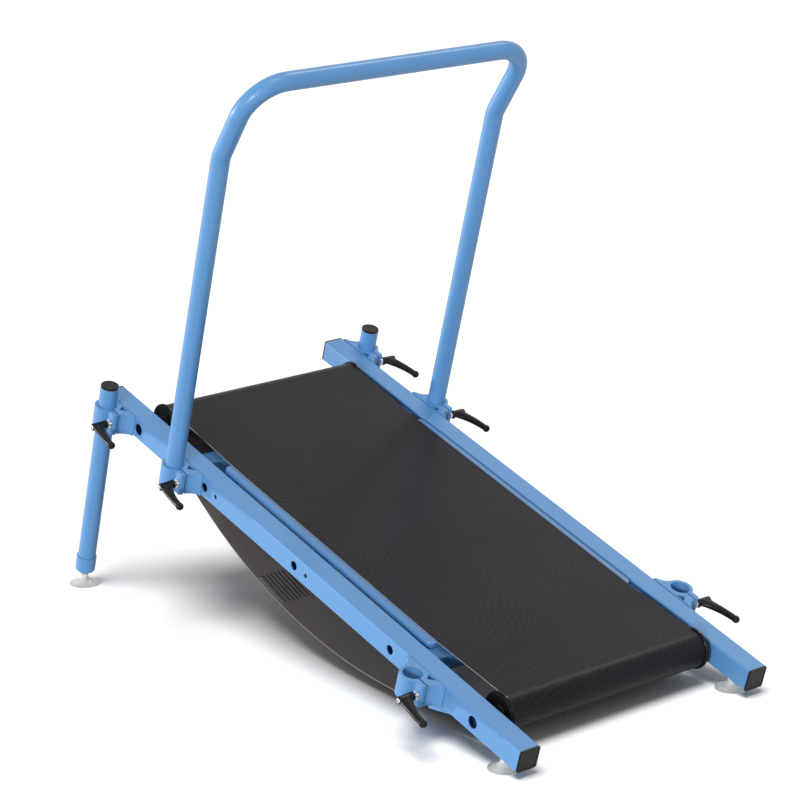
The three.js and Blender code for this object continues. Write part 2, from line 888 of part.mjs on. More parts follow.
// Suction cup, drawn about the ball's centre, with its lip on the floor
function suctionCup(name) {
  const floor = -footPivotHeight;
  const socket = footBallRadius + fit;
  const seat = arc(at(0, 0), socket, 0, -Math.PI / 2, cornerSteps).slice(0, -1);
  const slope = new THREE.QuadraticBezierCurve(
    at(cupRadius, floor + cupLip),
    at(cupNeckRadius + cupHollowRadius, floor + cupShoulder),
    at(cupNeckRadius, floor + cupNeckHeight),
  );
  return piece(
    name,
    turned(
      [
        [0, floor + cupHollowHeight],
        [cupHollowRadius, floor + cupHollowHeight],
        [cupRadius - cupLipWidth, floor],
        [cupRadius, floor],
        ...slope.getPoints(cornerSteps).map((p) => [p.x, p.y]),
        [cupNeckRadius, 0],
        ...seat.map((p) => [p.x, p.y]),
        [0, -socket],
      ],
      cupSides,
    ),
    clearRubber,
  );
}

// Assembly: the frame, drawn level, is tilted and lifted
const frame = new THREE.Group();
frame.rotation.x = tilt;
frame.position.z = originHeight;
const ends = [
  ["low", rollerPlaces[0], lowHangerStart],
  ["high", rollerPlaces[1], highHangerStart],
];
const clampPlaces = [
  ["low", lowClampPlace],
  ["handle", handleClampPlace],
  ["leg", legClampPlace],
];
frame.add(
  ...sides.map(rail),
  crossTube("cross_tube_low", lowCrossStart),
  crossTube("cross_tube_high", highCrossStart),
  ...bearerPlaces.map(deckBearer),
  deckBoard(),
  bellySheetPiece(),
  runningBelt(),
  handlebar(),
  ...ends.map(([end, v]) => rollerSet(end, v)),
  ...sides.map(leg),
);
for (const side of sides) {
  const lowStud = footStud(`foot_stud_low_${side.word}`);
  lowStud.position.set(side.sign * railCentre, lowFootPlace, -railSide - footRise);
  frame.add(
    lowStud,
    ...ends.map(([end]) => railCap(side, end)),
    ...ends.map(([end, , start]) => bellyHanger(end, start, side)),
    ...clampPlaces.map(([place, v]) => clampSet(place, v, side)),
  );
}

// The suction cups lie flat on the floor, each under its stud's ball
const treadmill = new THREE.Group();
treadmill.add(frame);
frame.updateMatrixWorld(true);
for (const { word, sign } of sides) {
  const lowBall = new THREE.Vector3(sign * railCentre, lowFootPlace, -railSide - footRise);
  const legBall = new THREE.Vector3(sign * tubeOffset, legClampPlace, legPivot);
  const lowCup = suctionCup(`suction_cup_low_${word}`);
  const legCup = suctionCup(`suction_cup_leg_${word}`);
  lowCup.position.copy(frame.localToWorld(lowBall));
  legCup.position.copy(frame.localToWorld(legBall));
  treadmill.add(lowCup, legCup);
}

// The origin is on the floor, under the middle of the whole treadmill
const bounds = new THREE.Box3().setFromObject(treadmill, true);
treadmill.position.y = -(bounds.min.y + bounds.max.y) / 2;

export default treadmill;
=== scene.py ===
"""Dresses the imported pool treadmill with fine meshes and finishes, and sets it in a studio.

The frame is drawn level and then laid on its slope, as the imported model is: u runs across
the frame, v along the rails from their low end and w square to them, with w = 0 on the
rails' top. Sizes are in metres.
"""

import json
import logging
import math
from abc import ABC, abstractmethod
from collections.abc import Callable, Iterable, Sequence
from dataclasses import dataclass
from enum import Enum

import bmesh
import bpy
from mathutils import Matrix, Quaternion, Vector


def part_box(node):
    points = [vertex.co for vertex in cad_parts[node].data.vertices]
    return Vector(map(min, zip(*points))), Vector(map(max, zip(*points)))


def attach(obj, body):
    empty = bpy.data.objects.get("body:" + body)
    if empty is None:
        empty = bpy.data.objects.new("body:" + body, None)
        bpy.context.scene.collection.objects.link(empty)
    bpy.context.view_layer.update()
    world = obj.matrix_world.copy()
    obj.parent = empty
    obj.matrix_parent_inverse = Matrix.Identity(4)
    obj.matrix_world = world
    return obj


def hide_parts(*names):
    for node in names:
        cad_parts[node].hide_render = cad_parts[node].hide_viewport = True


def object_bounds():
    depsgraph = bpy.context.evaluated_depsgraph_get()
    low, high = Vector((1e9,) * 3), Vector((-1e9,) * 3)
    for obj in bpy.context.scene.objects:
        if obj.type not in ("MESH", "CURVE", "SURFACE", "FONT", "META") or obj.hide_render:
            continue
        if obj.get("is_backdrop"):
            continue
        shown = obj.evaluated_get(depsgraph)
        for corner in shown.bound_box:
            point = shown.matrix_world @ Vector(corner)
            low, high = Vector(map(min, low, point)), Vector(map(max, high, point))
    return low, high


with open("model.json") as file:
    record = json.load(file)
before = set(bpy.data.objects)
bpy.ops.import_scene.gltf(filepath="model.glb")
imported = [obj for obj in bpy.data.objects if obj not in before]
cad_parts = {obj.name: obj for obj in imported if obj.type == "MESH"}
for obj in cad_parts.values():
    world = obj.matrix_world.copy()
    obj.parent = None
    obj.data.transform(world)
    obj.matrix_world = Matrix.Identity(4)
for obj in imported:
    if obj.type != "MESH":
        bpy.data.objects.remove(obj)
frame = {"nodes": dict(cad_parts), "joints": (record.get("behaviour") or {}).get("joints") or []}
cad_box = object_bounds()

log = logging.getLogger("treadmill")

Point = tuple[float, float]
Corner = tuple[float, float, float]
Station = tuple[float, float, float]
Outline = list[Point]
Colour = tuple[float, float, float, float]
Mesh = bpy.types.Mesh
Socket = bpy.types.NodeSocket

FIT = 0.0003
OVERRUN = 0.006
TINY = 1e-6
MILLIMETRES = 1000
QUARTER = math.pi / 2
SHARP_ANGLE = math.radians(30)
ROUND_STEP = math.radians(9)
ROUND_SIDES = 48
TUBE_SIDES = 64
BEVEL_STEPS = 2

# The radii of small rounded edges
CRISP = 0.0002
KEEN = 0.0003
TIGHT = 0.0004
EASED = 0.0005
SOFT = 0.0006
MILD = 0.0008
FULL = 0.0010

# How a drawing in x, y and z is laid in the frame
ABOUT = Matrix.Rotation(math.pi, 4, "Z")
ALONG = Matrix.Rotation(QUARTER, 4, "X")
ACROSS = Matrix.Rotation(QUARTER, 4, "Y")
SIDEWAYS = Matrix(((0, 0, 1, 0), (1, 0, 0, 0), (0, 1, 0, 0), (0, 0, 0, 1)))


class Slot(Enum):
    """The record's material slots."""

    BLUE = "blue_paint"
    BOARD = "board_plastic"
    BLACK = "black_plastic"
    BELT = "belt_rubber"
    BELLY = "belly_plastic"
    STEEL = "steel"
    STUD = "amber_stud"
    CUP = "clear_rubber"


class Side(Enum):
    """The two sides of the frame."""

    LEFT = "left"
    RIGHT = "right"

    @property
    def sign(self) -> int:
        """Minus one on the left, where u is below zero, and one on the right."""
        return 1 if self is Side.RIGHT else -1

    @property
    def turn(self) -> Matrix:
        """Turns what is drawn for the right side about v, to stand on this side."""
        return Matrix.Rotation(0.0 if self is Side.RIGHT else math.pi, 4, "Y")


class End(Enum):
    """The two ends of the slope."""

    LOW = "low"
    HIGH = "high"


class Seat(Enum):
    """What a tube clamp holds: nothing yet, the handlebar or a leg."""

    LOW = "low"
    HANDLE = "handle"
    LEG = "leg"


@dataclass(frozen=True)
class Slope:
    """Where the tilted frame lies."""

    tilt: float
    origin: Vector

    @classmethod
    def of_joints(cls, joints: Iterable[dict], layout: "Layout") -> "Slope":
        """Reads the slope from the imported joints.

        Args:
            joints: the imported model's joints.
            layout: the sizes that say where the low roller lies on the frame.

        Returns:
            The slope on which the level drawings are laid.
        """
        found = {joint["name"]: joint for joint in joints}
        up = Vector(found["handlebar_height"]["axis"])
        tilt = math.atan2(-up.y, up.z)
        roller = Vector((0, layout.roller_inset, layout.rail_middle))
        turned = Matrix.Rotation(tilt, 3, "X") @ roller
        return cls(tilt, Vector(found["low_roller_spin"]["pos_m"]) - turned)

    def at(self, u: float = 0.0, v: float = 0.0, w: float = 0.0) -> Matrix:
        """Gives the matrix that lays a level drawing at (u, v, w) on the slope."""
        lean = Matrix.Rotation(self.tilt, 4, "X")
        return Matrix.Translation(self.origin) @ lean @ Matrix.Translation((u, v, w))

    def level(self, point: Sequence[float]) -> Vector:
        """Gives the u, v and w of a point of the finished model."""
        return Matrix.Rotation(-self.tilt, 3, "X") @ (Vector(point) - self.origin)


@dataclass(frozen=True)
class Layout:
    """The sizes that several sub-assemblies share."""

    rail_length: float = 1.448
    rail_side: float = 0.050
    rail_wall: float = 0.003
    rail_corner: float = 0.005
    frame_width: float = 0.666
    cap_thickness: float = 0.004
    roller_inset: float = 0.141
    low_deck_gap: float = 0.211
    high_deck_gap: float = 0.239
    low_bearer_inset: float = 0.050
    high_bearer_inset: float = 0.017
    bearer_count: int = 3
    deck_rise: float = 0.004
    deck_thickness: float = 0.014
    deck_gap: float = 0.007
    belt_inset: float = 0.018
    belt_thickness: float = 0.0024
    roller_radius: float = 0.0373
    axle_radius: float = 0.008
    belly_depth: float = 0.198
    belly_end_depth: float = 0.0665
    belly_end_inset: float = 0.189
    belly_sheet: float = 0.002
    tube_radius: float = 0.020
    tube_wall: float = 0.0025
    clamp_reach: float = 0.031
    low_clamp: float = 0.295
    handle_clamp_inset: float = 0.323
    leg_clamp_inset: float = 0.059
    low_foot: float = 0.0607
    foot_rise: float = 0.0089
    foot_shank_radius: float = 0.004

    @property
    def rail_outer(self) -> float:
        """The u of the rails' outer faces."""
        return self.frame_width / 2

    @property
    def rail_centre(self) -> float:
        """The u of the rails' middle lines."""
        return self.rail_outer - self.rail_side / 2

    @property
    def rail_inner(self) -> float:
        """The u of the rails' inner faces."""
        return self.rail_outer - self.rail_side

    @property
    def rail_middle(self) -> float:
        """The w of the rails' middle lines."""
        return -self.rail_side / 2

    @property
    def roller_places(self) -> dict[End, float]:
        """The v of the two rollers."""
        return {End.LOW: self.roller_inset, End.HIGH: self.rail_length - self.roller_inset}

    @property
    def deck_start(self) -> float:
        """The v at which the walking board begins."""
        return self.roller_places[End.LOW] + self.low_deck_gap

    @property
    def deck_end(self) -> float:
        """The v at which the walking board ends."""
        return self.roller_places[End.HIGH] - self.high_deck_gap

    @property
    def bearer_places(self) -> list[float]:
        """The v of the bearers under the board.

        Returns:
            One v for each bearer, from the low end up.
        """
        first = self.deck_start + self.low_bearer_inset
        pitch = (self.deck_end - self.high_bearer_inset - first) / (self.bearer_count - 1)
        return [first + i * pitch for i in range(self.bearer_count)]

    @property
    def cross_top(self) -> float:
        """The w of the top of the tubes that carry the board."""
        return self.deck_rise - self.deck_thickness - FIT

    @property
    def deck_half(self) -> float:
        """Half the board's width."""
        return self.rail_inner - self.deck_gap

    @property
    def belt_half(self) -> float:
        """Half the belt's width."""
        return self.deck_half - self.belt_inset

    @property
    def tube_offset(self) -> float:
        """The u of the handlebar's uprights and of the legs."""
        return self.rail_outer + self.clamp_reach

    @property
    def clamp_places(self) -> dict[Seat, float]:
        """The v of the three clamps on each rail.

        Returns:
            One v for each kind of clamp.
        """
        return {
            Seat.LOW: self.low_clamp,
            Seat.HANDLE: self.rail_length - self.handle_clamp_inset,
            Seat.LEG: self.rail_length - self.leg_clamp_inset,
        }

    @property
    def belly_middle(self) -> float:
        """The v of the belly sheet's lowest line."""
        return self.rail_length / 2

    @property
    def belly_half_span(self) -> float:
        """Half the belly sheet's span along the rails."""
        return self.belly_middle - self.belly_end_inset

    @property
    def belly_radius(self) -> float:
        """The radius of the belly sheet's inner face."""
        sag = self.belly_depth - self.belly_end_depth
        return (self.belly_half_span**2 + sag**2) / (2 * sag)

    @property
    def belly_axis(self) -> float:
        """The w of the line about which the belly sheet is bent."""
        return self.belly_radius - self.belly_depth


# Outlines


def arc(centre: Point, radius: float, start: float, end: float, steps: int) -> Outline:
    """Gives the points of an arc.

    Args:
        centre: the arc's centre.
        radius: its radius.
        start: the angle at which it starts.
        end: the angle at which it ends.
        steps: the number of straight steps between them.

    Returns:
        The points from start to end, both included.
    """
    angles = [start + (end - start) * i / steps for i in range(steps + 1)]
    return [(centre[0] + radius * math.cos(a), centre[1] + radius * math.sin(a)) for a in angles]


def circle(radius: float, sides: int) -> Outline:
    """Gives the corners of a circle about the origin."""
    return arc((0.0, 0.0), radius, 0.0, 2 * math.pi, sides)[:-1]


def rounded(corners: Sequence[Corner], closed: bool = True) -> Outline:
    """Rounds the corners of an outline.

    Args:
        corners: the x, y and rounding radius of each corner.
        closed: whether the last corner joins the first; an open outline keeps its ends.

    Returns:
        The points of the rounded outline.
    """
    outline: Outline = []
    for i, (x, y, radius) in enumerate(corners):
        if radius <= 0 or (not closed and i in (0, len(corners) - 1)):
            outline.append((x, y))
            continue
        corner = Vector((x, y))
        arrive = (corner - Vector(corners[i - 1][:2])).normalized()
        leave = (Vector(corners[(i + 1) % len(corners)][:2]) - corner).normalized()
        turn = math.atan2(arrive.x * leave.y - arrive.y * leave.x, arrive.dot(leave))
        start = corner - arrive * radius * math.tan(abs(turn) / 2)
        aside = Vector((-arrive.y, arrive.x)) * math.copysign(radius, turn)
        centre = start + aside
        first = math.atan2(-aside.y, -aside.x)
        steps = max(2, math.ceil(abs(turn) / ROUND_STEP))
        outline += arc((centre.x, centre.y), radius, first, first + turn, steps)
    return outline


def rounded_rectangle(centre: Point, width: float, height: float, radius: float) -> Outline:
    """Gives a rectangle about a centre, with all four corners rounded alike.

    Args:
        centre: the rectangle's centre.
        width: its size in x.
        height: its size in y.
        radius: the radius of its corners.

    Returns:
        The outline.
    """
    x, y = width / 2, height / 2
    corners = [(x, -y), (x, y), (-x, y), (-x, -y)]
    return rounded([(centre[0] + a, centre[1] + b, radius) for a, b in corners])


def square_tube(centre: Point, side: float, wall: float, corner: float) -> list[Outline]:
    """Gives the two outlines of a square tube's section.

    Args:
        centre: the section's centre.
        side: its outer width.
        wall: the thickness of its wall.
        corner: the radius of its outer corners.

    Returns:
        The outer and the inner outline.
    """
    hollow = side - 2 * wall
    return [
        rounded_rectangle(centre, side, side, corner),
        rounded_rectangle(centre, hollow, hollow, max(corner - wall, wall / 2)),
    ]


def bezier(start: Point, control: Point, end: Point, steps: int) -> Outline:
    """Gives the points of a quadratic curve from start towards control and on to end.

    Args:
        start: the first point.
        control: the point that pulls the curve.
        end: the last point.
        steps: the number of straight steps.

    Returns:
        The points, both ends included.
    """
    a, b, c = Vector(start), Vector(control), Vector(end)
    shares = [i / steps for i in range(steps + 1)]
    return [tuple(a.lerp(b, t).lerp(b.lerp(c, t), t)) for t in shares]


def tangent_angle(point: Point, centre: Point, radius: float, turn: int) -> float:
    """Gives the angle at which a line from a point touches a circle, 1 left or -1 right."""
    away = Vector(point) - Vector(centre)
    return math.atan2(away.y, away.x) + turn * math.acos(radius / away.length)


# Meshes


def closed_mesh(shape: bmesh.types.BMesh) -> Mesh:
    """Merges doubles, turns the faces outwards and gives the finished mesh.

    Args:
        shape: the drawn faces, which are freed.

    Returns:
        The mesh.
    """
    bmesh.ops.remove_doubles(shape, verts=shape.verts, dist=TINY)
    bmesh.ops.recalc_face_normals(shape, faces=shape.faces)
    mesh = bpy.data.meshes.new("drawn")
    shape.to_mesh(mesh)
    shape.free()
    return mesh


def lathe(profile: Outline, sides: int = ROUND_SIDES) -> Mesh:
    """Turns a profile about the upright axis.

    Args:
        profile: radius and height; it starts and ends on the axis, or else closes on itself.
        sides: the number of sides round the axis.

    Returns:
        The closed mesh.
    """
    shape = bmesh.new()
    rings = []
    for radius, height in profile:
        spokes = circle(radius, sides) if radius > TINY else [(0.0, 0.0)]
        rings.append([shape.verts.new((x, y, height)) for x, y in spokes])
    pairs = list(zip(rings, rings[1:]))
    if len(rings[0]) > 1:
        pairs.append((rings[-1], rings[0]))
    for low, high in pairs:
        for k in range(sides):
            ring = [(low, k), (low, k + 1), (high, k + 1), (high, k)]
            corners = list(dict.fromkeys(verts[i % len(verts)] for verts, i in ring))
            if len(corners) > 2:
                shape.faces.new(corners)
    return closed_mesh(shape)


def loft(rings: Sequence[Sequence[Sequence[float]]]) -> Mesh:
    """Skins rings of points that are alike in number and closes both ends.

    Args:
        rings: the points of each ring.

    Returns:
        The closed mesh.
    """
    shape = bmesh.new()
    drawn = [[shape.verts.new(point) for point in ring] for ring in rings]
    for low, high in zip(drawn, drawn[1:]):
        count = len(low)
        for k in range(count):
            shape.faces.new((low[k], low[(k + 1) % count], high[(k + 1) % count], high[k]))
    shape.faces.new(reversed(drawn[0]))
    shape.faces.new(drawn[-1])
    return closed_mesh(shape)


def mesh_of(piece: bpy.types.Object) -> Mesh:
    """Turns an object with its modifiers into a plain mesh and removes the object.

    Args:
        piece: the object.

    Returns:
        The plain mesh.
    """
    bpy.context.view_layer.update()
    graph = bpy.context.evaluated_depsgraph_get()
    mesh = bpy.data.meshes.new_from_object(piece.evaluated_get(graph))
    bpy.data.objects.remove(piece)
    return mesh


def stand(data: bpy.types.ID, name: str = "draft") -> bpy.types.Object:
    """Puts data in the scene as an object at the origin.

    Args:
        data: the mesh, curve, lamp or camera.
        name: the object's name.

    Returns:
        The object.
    """
    piece = bpy.data.objects.new(name, data)
    bpy.context.scene.collection.objects.link(piece)
    return piece


def prism(loops: Sequence[Outline], low: float, high: float, bevel: float = 0.0) -> Mesh:
    """Fills outlines and raises them, with every rim bevelled.

    Args:
        loops: the outline and its holes.
        low: the height of the lower face.
        high: the height of the upper face.
        bevel: the radius of the rounded rims.

    Returns:
        The closed mesh.
    """
    curve = bpy.data.curves.new("drawn", "CURVE")
    curve.dimensions = "2D"
    curve.fill_mode = "BOTH"
    curve.extrude = (high - low) / 2 - bevel
    curve.bevel_depth = bevel
    curve.bevel_resolution = BEVEL_STEPS
    curve.offset = -bevel
    for loop in loops:
        spline = curve.splines.new("POLY")
        spline.points.add(len(loop) - 1)
        spline.points.foreach_set("co", [value for x, y in loop for value in (x, y, 0.0, 1.0)])
        spline.use_cyclic_u = True
    mesh = mesh_of(stand(curve))
    mesh.transform(Matrix.Translation((0, 0, (low + high) / 2)))
    shape = bmesh.new()
    shape.from_mesh(mesh)
    return closed_mesh(shape)


def cut(body: Mesh, *others: Mesh) -> Mesh:
    """Cuts other meshes from a body.

    Args:
        body: the mesh that is cut.
        others: the meshes that cut it.

    Returns:
        What is left of the body.
    """
    piece = stand(body)
    tools = [stand(mesh) for mesh in others]
    for tool in tools:
        step = piece.modifiers.new("cut", "BOOLEAN")
        step.solver = "EXACT"
        step.object = tool
    mesh = mesh_of(piece)
    for tool in tools:
        bpy.data.objects.remove(tool)
    return mesh


def melted(meshes: Sequence[Mesh], grain: float, rounds: int) -> Mesh:
    """Melts overlapping meshes into one soft-edged skin.

    Args:
        meshes: the closed meshes.
        grain: the size of the new skin's faces.
        rounds: how many times the skin is smoothed.

    Returns:
        The closed mesh.
    """
    shape = bmesh.new()
    for mesh in meshes:
        shape.from_mesh(mesh)
    whole = bpy.data.meshes.new("drawn")
    shape.to_mesh(whole)
    shape.free()
    piece = stand(whole)
    skin = piece.modifiers.new("skin", "REMESH")
    skin.mode = "VOXEL"
    skin.voxel_size = grain
    soften = piece.modifiers.new("soften", "SMOOTH")
    soften.iterations = rounds
    return mesh_of(piece)


def moved(mesh: Mesh, *steps: Matrix) -> Mesh:
    """Carries a mesh through the given steps, the last one first, and gives it back.

    Args:
        mesh: the mesh.
        steps: the matrices.

    Returns:
        The same mesh.
    """
    whole = Matrix.Identity(4)
    for step in steps:
        whole = whole @ step
    mesh.transform(whole)
    return mesh


def drill(radius: float, start: float, face: float, chamfer: float = EASED) -> Mesh:
    """Draws an upright cutter that leaves a chamfered rim at the height of a face.

    Args:
        radius: the hole's radius.
        start: the height of the hole's floor.
        face: the height of the face that it opens on.
        chamfer: the width of the chamfer.

    Returns:
        The closed mesh.
    """
    rim = radius + chamfer
    profile = [(0, start), (radius, start), (radius, face - chamfer), (rim, face)]
    return lathe([*profile, (rim, face + OVERRUN), (0, face + OVERRUN)])


def shaded(mesh: Mesh) -> Mesh:
    """Smooths a mesh's shading except over sharp edges, with flat faces kept flat.

    Args:
        mesh: the finished shape.

    Returns:
        The mesh with its shading.
    """
    mesh.shade_smooth()
    mesh.set_sharp_from_angle(angle=SHARP_ANGLE)
    piece = stand(mesh)
    piece.modifiers.new("even", "WEIGHTED_NORMAL").keep_sharp = True
    return mesh_of(piece)


# Node trees

# The numbers of the mix node's colour sockets
MIX_A = 6
MIX_B = 7
MIX_RESULT = 2

# The settings inside the shared effects
CLOUD_DETAIL = 4.0
CLOUD_RANGE = (0.35, 0.65)
# The painted edge highlight: its samples and the bend over which it fades in
HIGHLIGHT_SAMPLES = 6
HIGHLIGHT_RANGE = (0.015, 0.25)
FINE_DETAIL = 3.0
WIDE_DETAIL = 1.0
WIDE_RATIO = 7.0
WIDE_SHARE = 0.6


class Wiring:
    """A node tree while it is being wired."""

    def __init__(self, tree: bpy.types.NodeTree) -> None:
        """Keeps the tree that the nodes go into."""
        self.tree = tree

    def add(self, kind: str, sockets: dict | None = None, **settings: object) -> bpy.types.Node:
        """Adds a node.

        Args:
            kind: the node's type name.
            sockets: what each input gets, a plain value or the output that feeds it.
            settings: the node's own properties.

        Returns:
            The new node.
        """
        node = self.tree.nodes.new(kind)
        for name, value in settings.items():
            setattr(node, name, value)
        for key, value in (sockets or {}).items():
            self.feed(node.inputs[key], value)
        return node

    def feed(self, socket: Socket, value: object) -> None:
        """Links an output to a socket, or sets the socket's value.

        Args:
            socket: the input.
            value: what it gets.
        """
        if isinstance(value, Socket):
            self.tree.links.new(value, socket)
        else:
            socket.default_value = value

    def taken(self, inputs: dict[str, str]) -> Sequence[Socket]:
        """Gives a group its inputs.

        Args:
            inputs: the socket type of each input, by name.

        Returns:
            The outputs that bring the inputs into the group.
        """
        for name, kind in inputs.items():
            self.tree.interface.new_socket(name, in_out="INPUT", socket_type=kind)
        return self.add("NodeGroupInput").outputs

    def maths(self, operation: str, a: object, b: object = 0.0) -> Socket:
        """Gives the result of a sum on two numbers."""
        return self.add("ShaderNodeMath", {0: a, 1: b}, operation=operation).outputs[0]

    def vector(self, x: object = 0.0, y: object = 0.0, z: object = 0.0) -> Socket:
        """Joins three numbers into a vector."""
        return self.add("ShaderNodeCombineXYZ", {0: x, 1: y, 2: z}).outputs[0]

    def parts(self, vector: object) -> tuple[Socket, ...]:
        """Gives the x, y and z of a vector."""
        return tuple(self.add("ShaderNodeSeparateXYZ", {0: vector}).outputs)

    def blend(self, share: object, a: object, b: object) -> Socket:
        """Gives a colour between a and b."""
        sockets = {0: share, MIX_A: a, MIX_B: b}
        return self.add("ShaderNodeMix", sockets, data_type="RGBA").outputs[MIX_RESULT]

    def spread(self, value: object, low: object, high: object) -> Socket:
        """Stretches a value from 0 to 1 over a range from low to high."""
        sockets = {"Value": value, "To Min": low, "To Max": high}
        return self.add("ShaderNodeMapRange", sockets).outputs[0]

    def narrow(self, value: object, low: float, high: float) -> Socket:
        """Turns the range from low to high into 0 to 1, clamped."""
        sockets = {"Value": value, "From Min": low, "From Max": high}
        return self.add("ShaderNodeMapRange", sockets).outputs[0]

    def noise(self, place: object, scale: object, detail: float = 2.0) -> Socket:
        """Gives a soft random value at each place."""
        sockets = {"Vector": place, "Scale": scale, "Detail": detail}
        return self.add("ShaderNodeTexNoise", sockets).outputs[0]

    def place(self) -> Socket:
        """Gives the object coordinates."""
        return self.add("ShaderNodeTexCoord").outputs["Object"]

    def mark(self, name: str) -> Socket:
        """Gives the number that the mesh keeps under a name."""
        return self.add("ShaderNodeAttribute", attribute_name=name).outputs["Fac"]

    def relief(self, height: object, depth: float, strength: float) -> Socket:
        """Gives the normal of a surface raised by a height."""
        sockets = {"Height": height, "Distance": depth, "Strength": strength}
        return self.add("ShaderNodeBump", sockets).outputs[0]

    def seen(self) -> Socket:
        """Gives 1 for rays that the camera sees by: straight, in a shine or through a piece.

        Returns:
            The output that tells these rays from the others.
        """
        rays = self.add("ShaderNodeLightPath").outputs
        straight = self.maths("MAXIMUM", rays["Is Camera Ray"], rays["Is Glossy Ray"])
        return self.maths("MAXIMUM", straight, rays["Is Transmission Ray"])


class Effect(Wiring):
    """A shader group that several finishes share."""

    def __init__(self, name: str, output: tuple[str, str], inputs: dict[str, str]) -> None:
        """Makes the group with its output and inputs, each given by name and socket type.

        Args:
            name: the group's name.
            output: the name and socket type of what it gives out.
            inputs: the socket type of each input, by name.
        """
        super().__init__(bpy.data.node_groups.new(name, "ShaderNodeTree"))
        title, kind = output
        self.tree.interface.new_socket(title, in_out="OUTPUT", socket_type=kind)
        self.given = self.taken(inputs)

    def give(self, value: Socket) -> None:
        """Links what the group gives out."""
        self.add("NodeGroupOutput", {0: value})

    def on(self, wiring: Wiring, **sockets: object) -> Socket:
        """Places the group in a finish and gives its output."""
        return wiring.add("ShaderNodeGroup", sockets, node_tree=self.tree).outputs[0]


def drift_effect() -> Effect:
    """Makes the group that lets a colour drift lighter and darker over a surface.

    Returns:
        The shader group.
    """
    inputs = {
        "Place": "NodeSocketVector",
        "Colour": "NodeSocketColor",
        "Other": "NodeSocketColor",
        "Scale": "NodeSocketFloat",
        "Amount": "NodeSocketFloat",
    }
    effect = Effect("drift", ("Colour", "NodeSocketColor"), inputs)
    given = effect.given
    noise = effect.noise(given["Place"], given["Scale"], CLOUD_DETAIL)
    share = effect.maths("MULTIPLY", effect.narrow(noise, *CLOUD_RANGE), given["Amount"])
    effect.give(effect.blend(share, given["Colour"], given["Other"]))
    return effect


def edge_highlight_effect() -> Effect:
    """Makes the group that paints a highlight along a surface's edges.

    Returns:
        The shader group.
    """
    inputs = {
        "Colour": "NodeSocketColor",
        "Edge": "NodeSocketColor",
        "Radius": "NodeSocketFloat",
        "Amount": "NodeSocketFloat",
    }
    effect = Effect("edge", ("Colour", "NodeSocketColor"), inputs)
    given = effect.given
    rounding = {"Radius": given["Radius"]}
    soft = effect.add("ShaderNodeBevel", rounding, samples=HIGHLIGHT_SAMPLES).outputs[0]
    true = effect.add("ShaderNodeNewGeometry").outputs["Normal"]
    sockets = {0: soft, 1: true}
    dot = effect.add("ShaderNodeVectorMath", sockets, operation="DOT_PRODUCT").outputs["Value"]
    bend = effect.narrow(effect.maths("SUBTRACT", 1.0, dot), *HIGHLIGHT_RANGE)
    share = effect.maths("MULTIPLY", bend, given["Amount"])
    effect.give(effect.blend(share, given["Colour"], given["Edge"]))
    return effect


def grain_effect() -> Effect:
    """Makes the group that gives the height of a fine moulded or sprayed grain.

    Returns:
        The shader group.
    """
    inputs = {"Place": "NodeSocketVector", "Scale": "NodeSocketFloat"}
    effect = Effect("grain", ("Height", "NodeSocketFloat"), inputs)
    given = effect.given
    fine = effect.noise(given["Place"], given["Scale"], FINE_DETAIL)
    wide_scale = effect.maths("DIVIDE", given["Scale"], WIDE_RATIO)
    wide = effect.noise(given["Place"], wide_scale, WIDE_DETAIL)
    effect.give(effect.maths("ADD", fine, effect.maths("MULTIPLY", wide, WIDE_SHARE)))
    return effect


@dataclass(frozen=True)
class Effects:
    """The shader groups that the finishes share."""

    drift: Effect
    # The painted highlight along the edges
    edge: Effect
    grain: Effect

    @classmethod
    def made(cls) -> "Effects":
        """Makes all the groups."""
        return cls(drift_effect(), edge_highlight_effect(), grain_effect())


# The pitch of the wave node's rings at a scale of one
WAVE_PITCH = math.pi / 10

# The curve of screen colours
CURVE_KNEE = 0.04045
CURVE_SLOPE = 12.92
CURVE_OFFSET = 0.055
CURVE_POWER = 2.4


def grey(share: float) -> Colour:
    """Gives a grey that throws back a share of the light."""
    return (share, share, share, 1.0)


def linear(share: float) -> float:
    """Turns a share of full screen brightness into a share of light.

    Args:
        share: the share of full brightness.

    Returns:
        The share of light.
    """
    if share <= CURVE_KNEE:
        return share / CURVE_SLOPE
    return ((share + CURVE_OFFSET) / (1 + CURVE_OFFSET)) ** CURVE_POWER


def tint(code: int) -> Colour:
    """Turns a colour written as 0xRRGGBB into the linear values that shaders take."""
    red, green, blue = [linear(part / 0xFF) for part in code.to_bytes(3, "big")]
    return (red, green, blue, 1.0)


# Finishes


@dataclass(frozen=True)
class Finish(ABC):
    """A surface finish."""

    name: str
    colour: int

    @abstractmethod
    def surface(self, wiring: Wiring, effects: Effects) -> dict[str, object]:
        """Gives what feeds each socket of the shader."""

    def material(self, effects: Effects) -> bpy.types.Material:
        """Makes the finish's material.

        Args:
            effects: the shared shader groups.

        Returns:
            The material.
        """
        material = bpy.data.materials.new(f"finish_{self.name}")
        material.use_nodes = True
        wiring = Wiring(material.node_tree)
        shader = material.node_tree.nodes["Principled BSDF"]
        for key, value in self.surface(wiring, effects).items():
            wiring.feed(shader.inputs[key], value)
        return material


@dataclass(frozen=True)
class Feel:
    """A surface's fine grain and the soft patches in its gloss."""

    gloss: tuple[float, float]
    gloss_scale: float
    grain_scale: float
    grain_strength: float
    grain_depth: float = 0.0001

    def wired(self, wiring: Wiring, effects: Effects, place: Socket) -> dict[str, object]:
        """Gives what feeds the shader's roughness and normal.

        Args:
            wiring: the material's tree.
            effects: the shared shader groups.
            place: where each point lies.

        Returns:
            The value or output for each of the two sockets.
        """
        grain = effects.grain.on(wiring, Place=place, Scale=self.grain_scale)
        return {
            "Roughness": wiring.spread(wiring.noise(place, self.gloss_scale), *self.gloss),
            "Normal": wiring.relief(grain, self.grain_depth, self.grain_strength),
        }


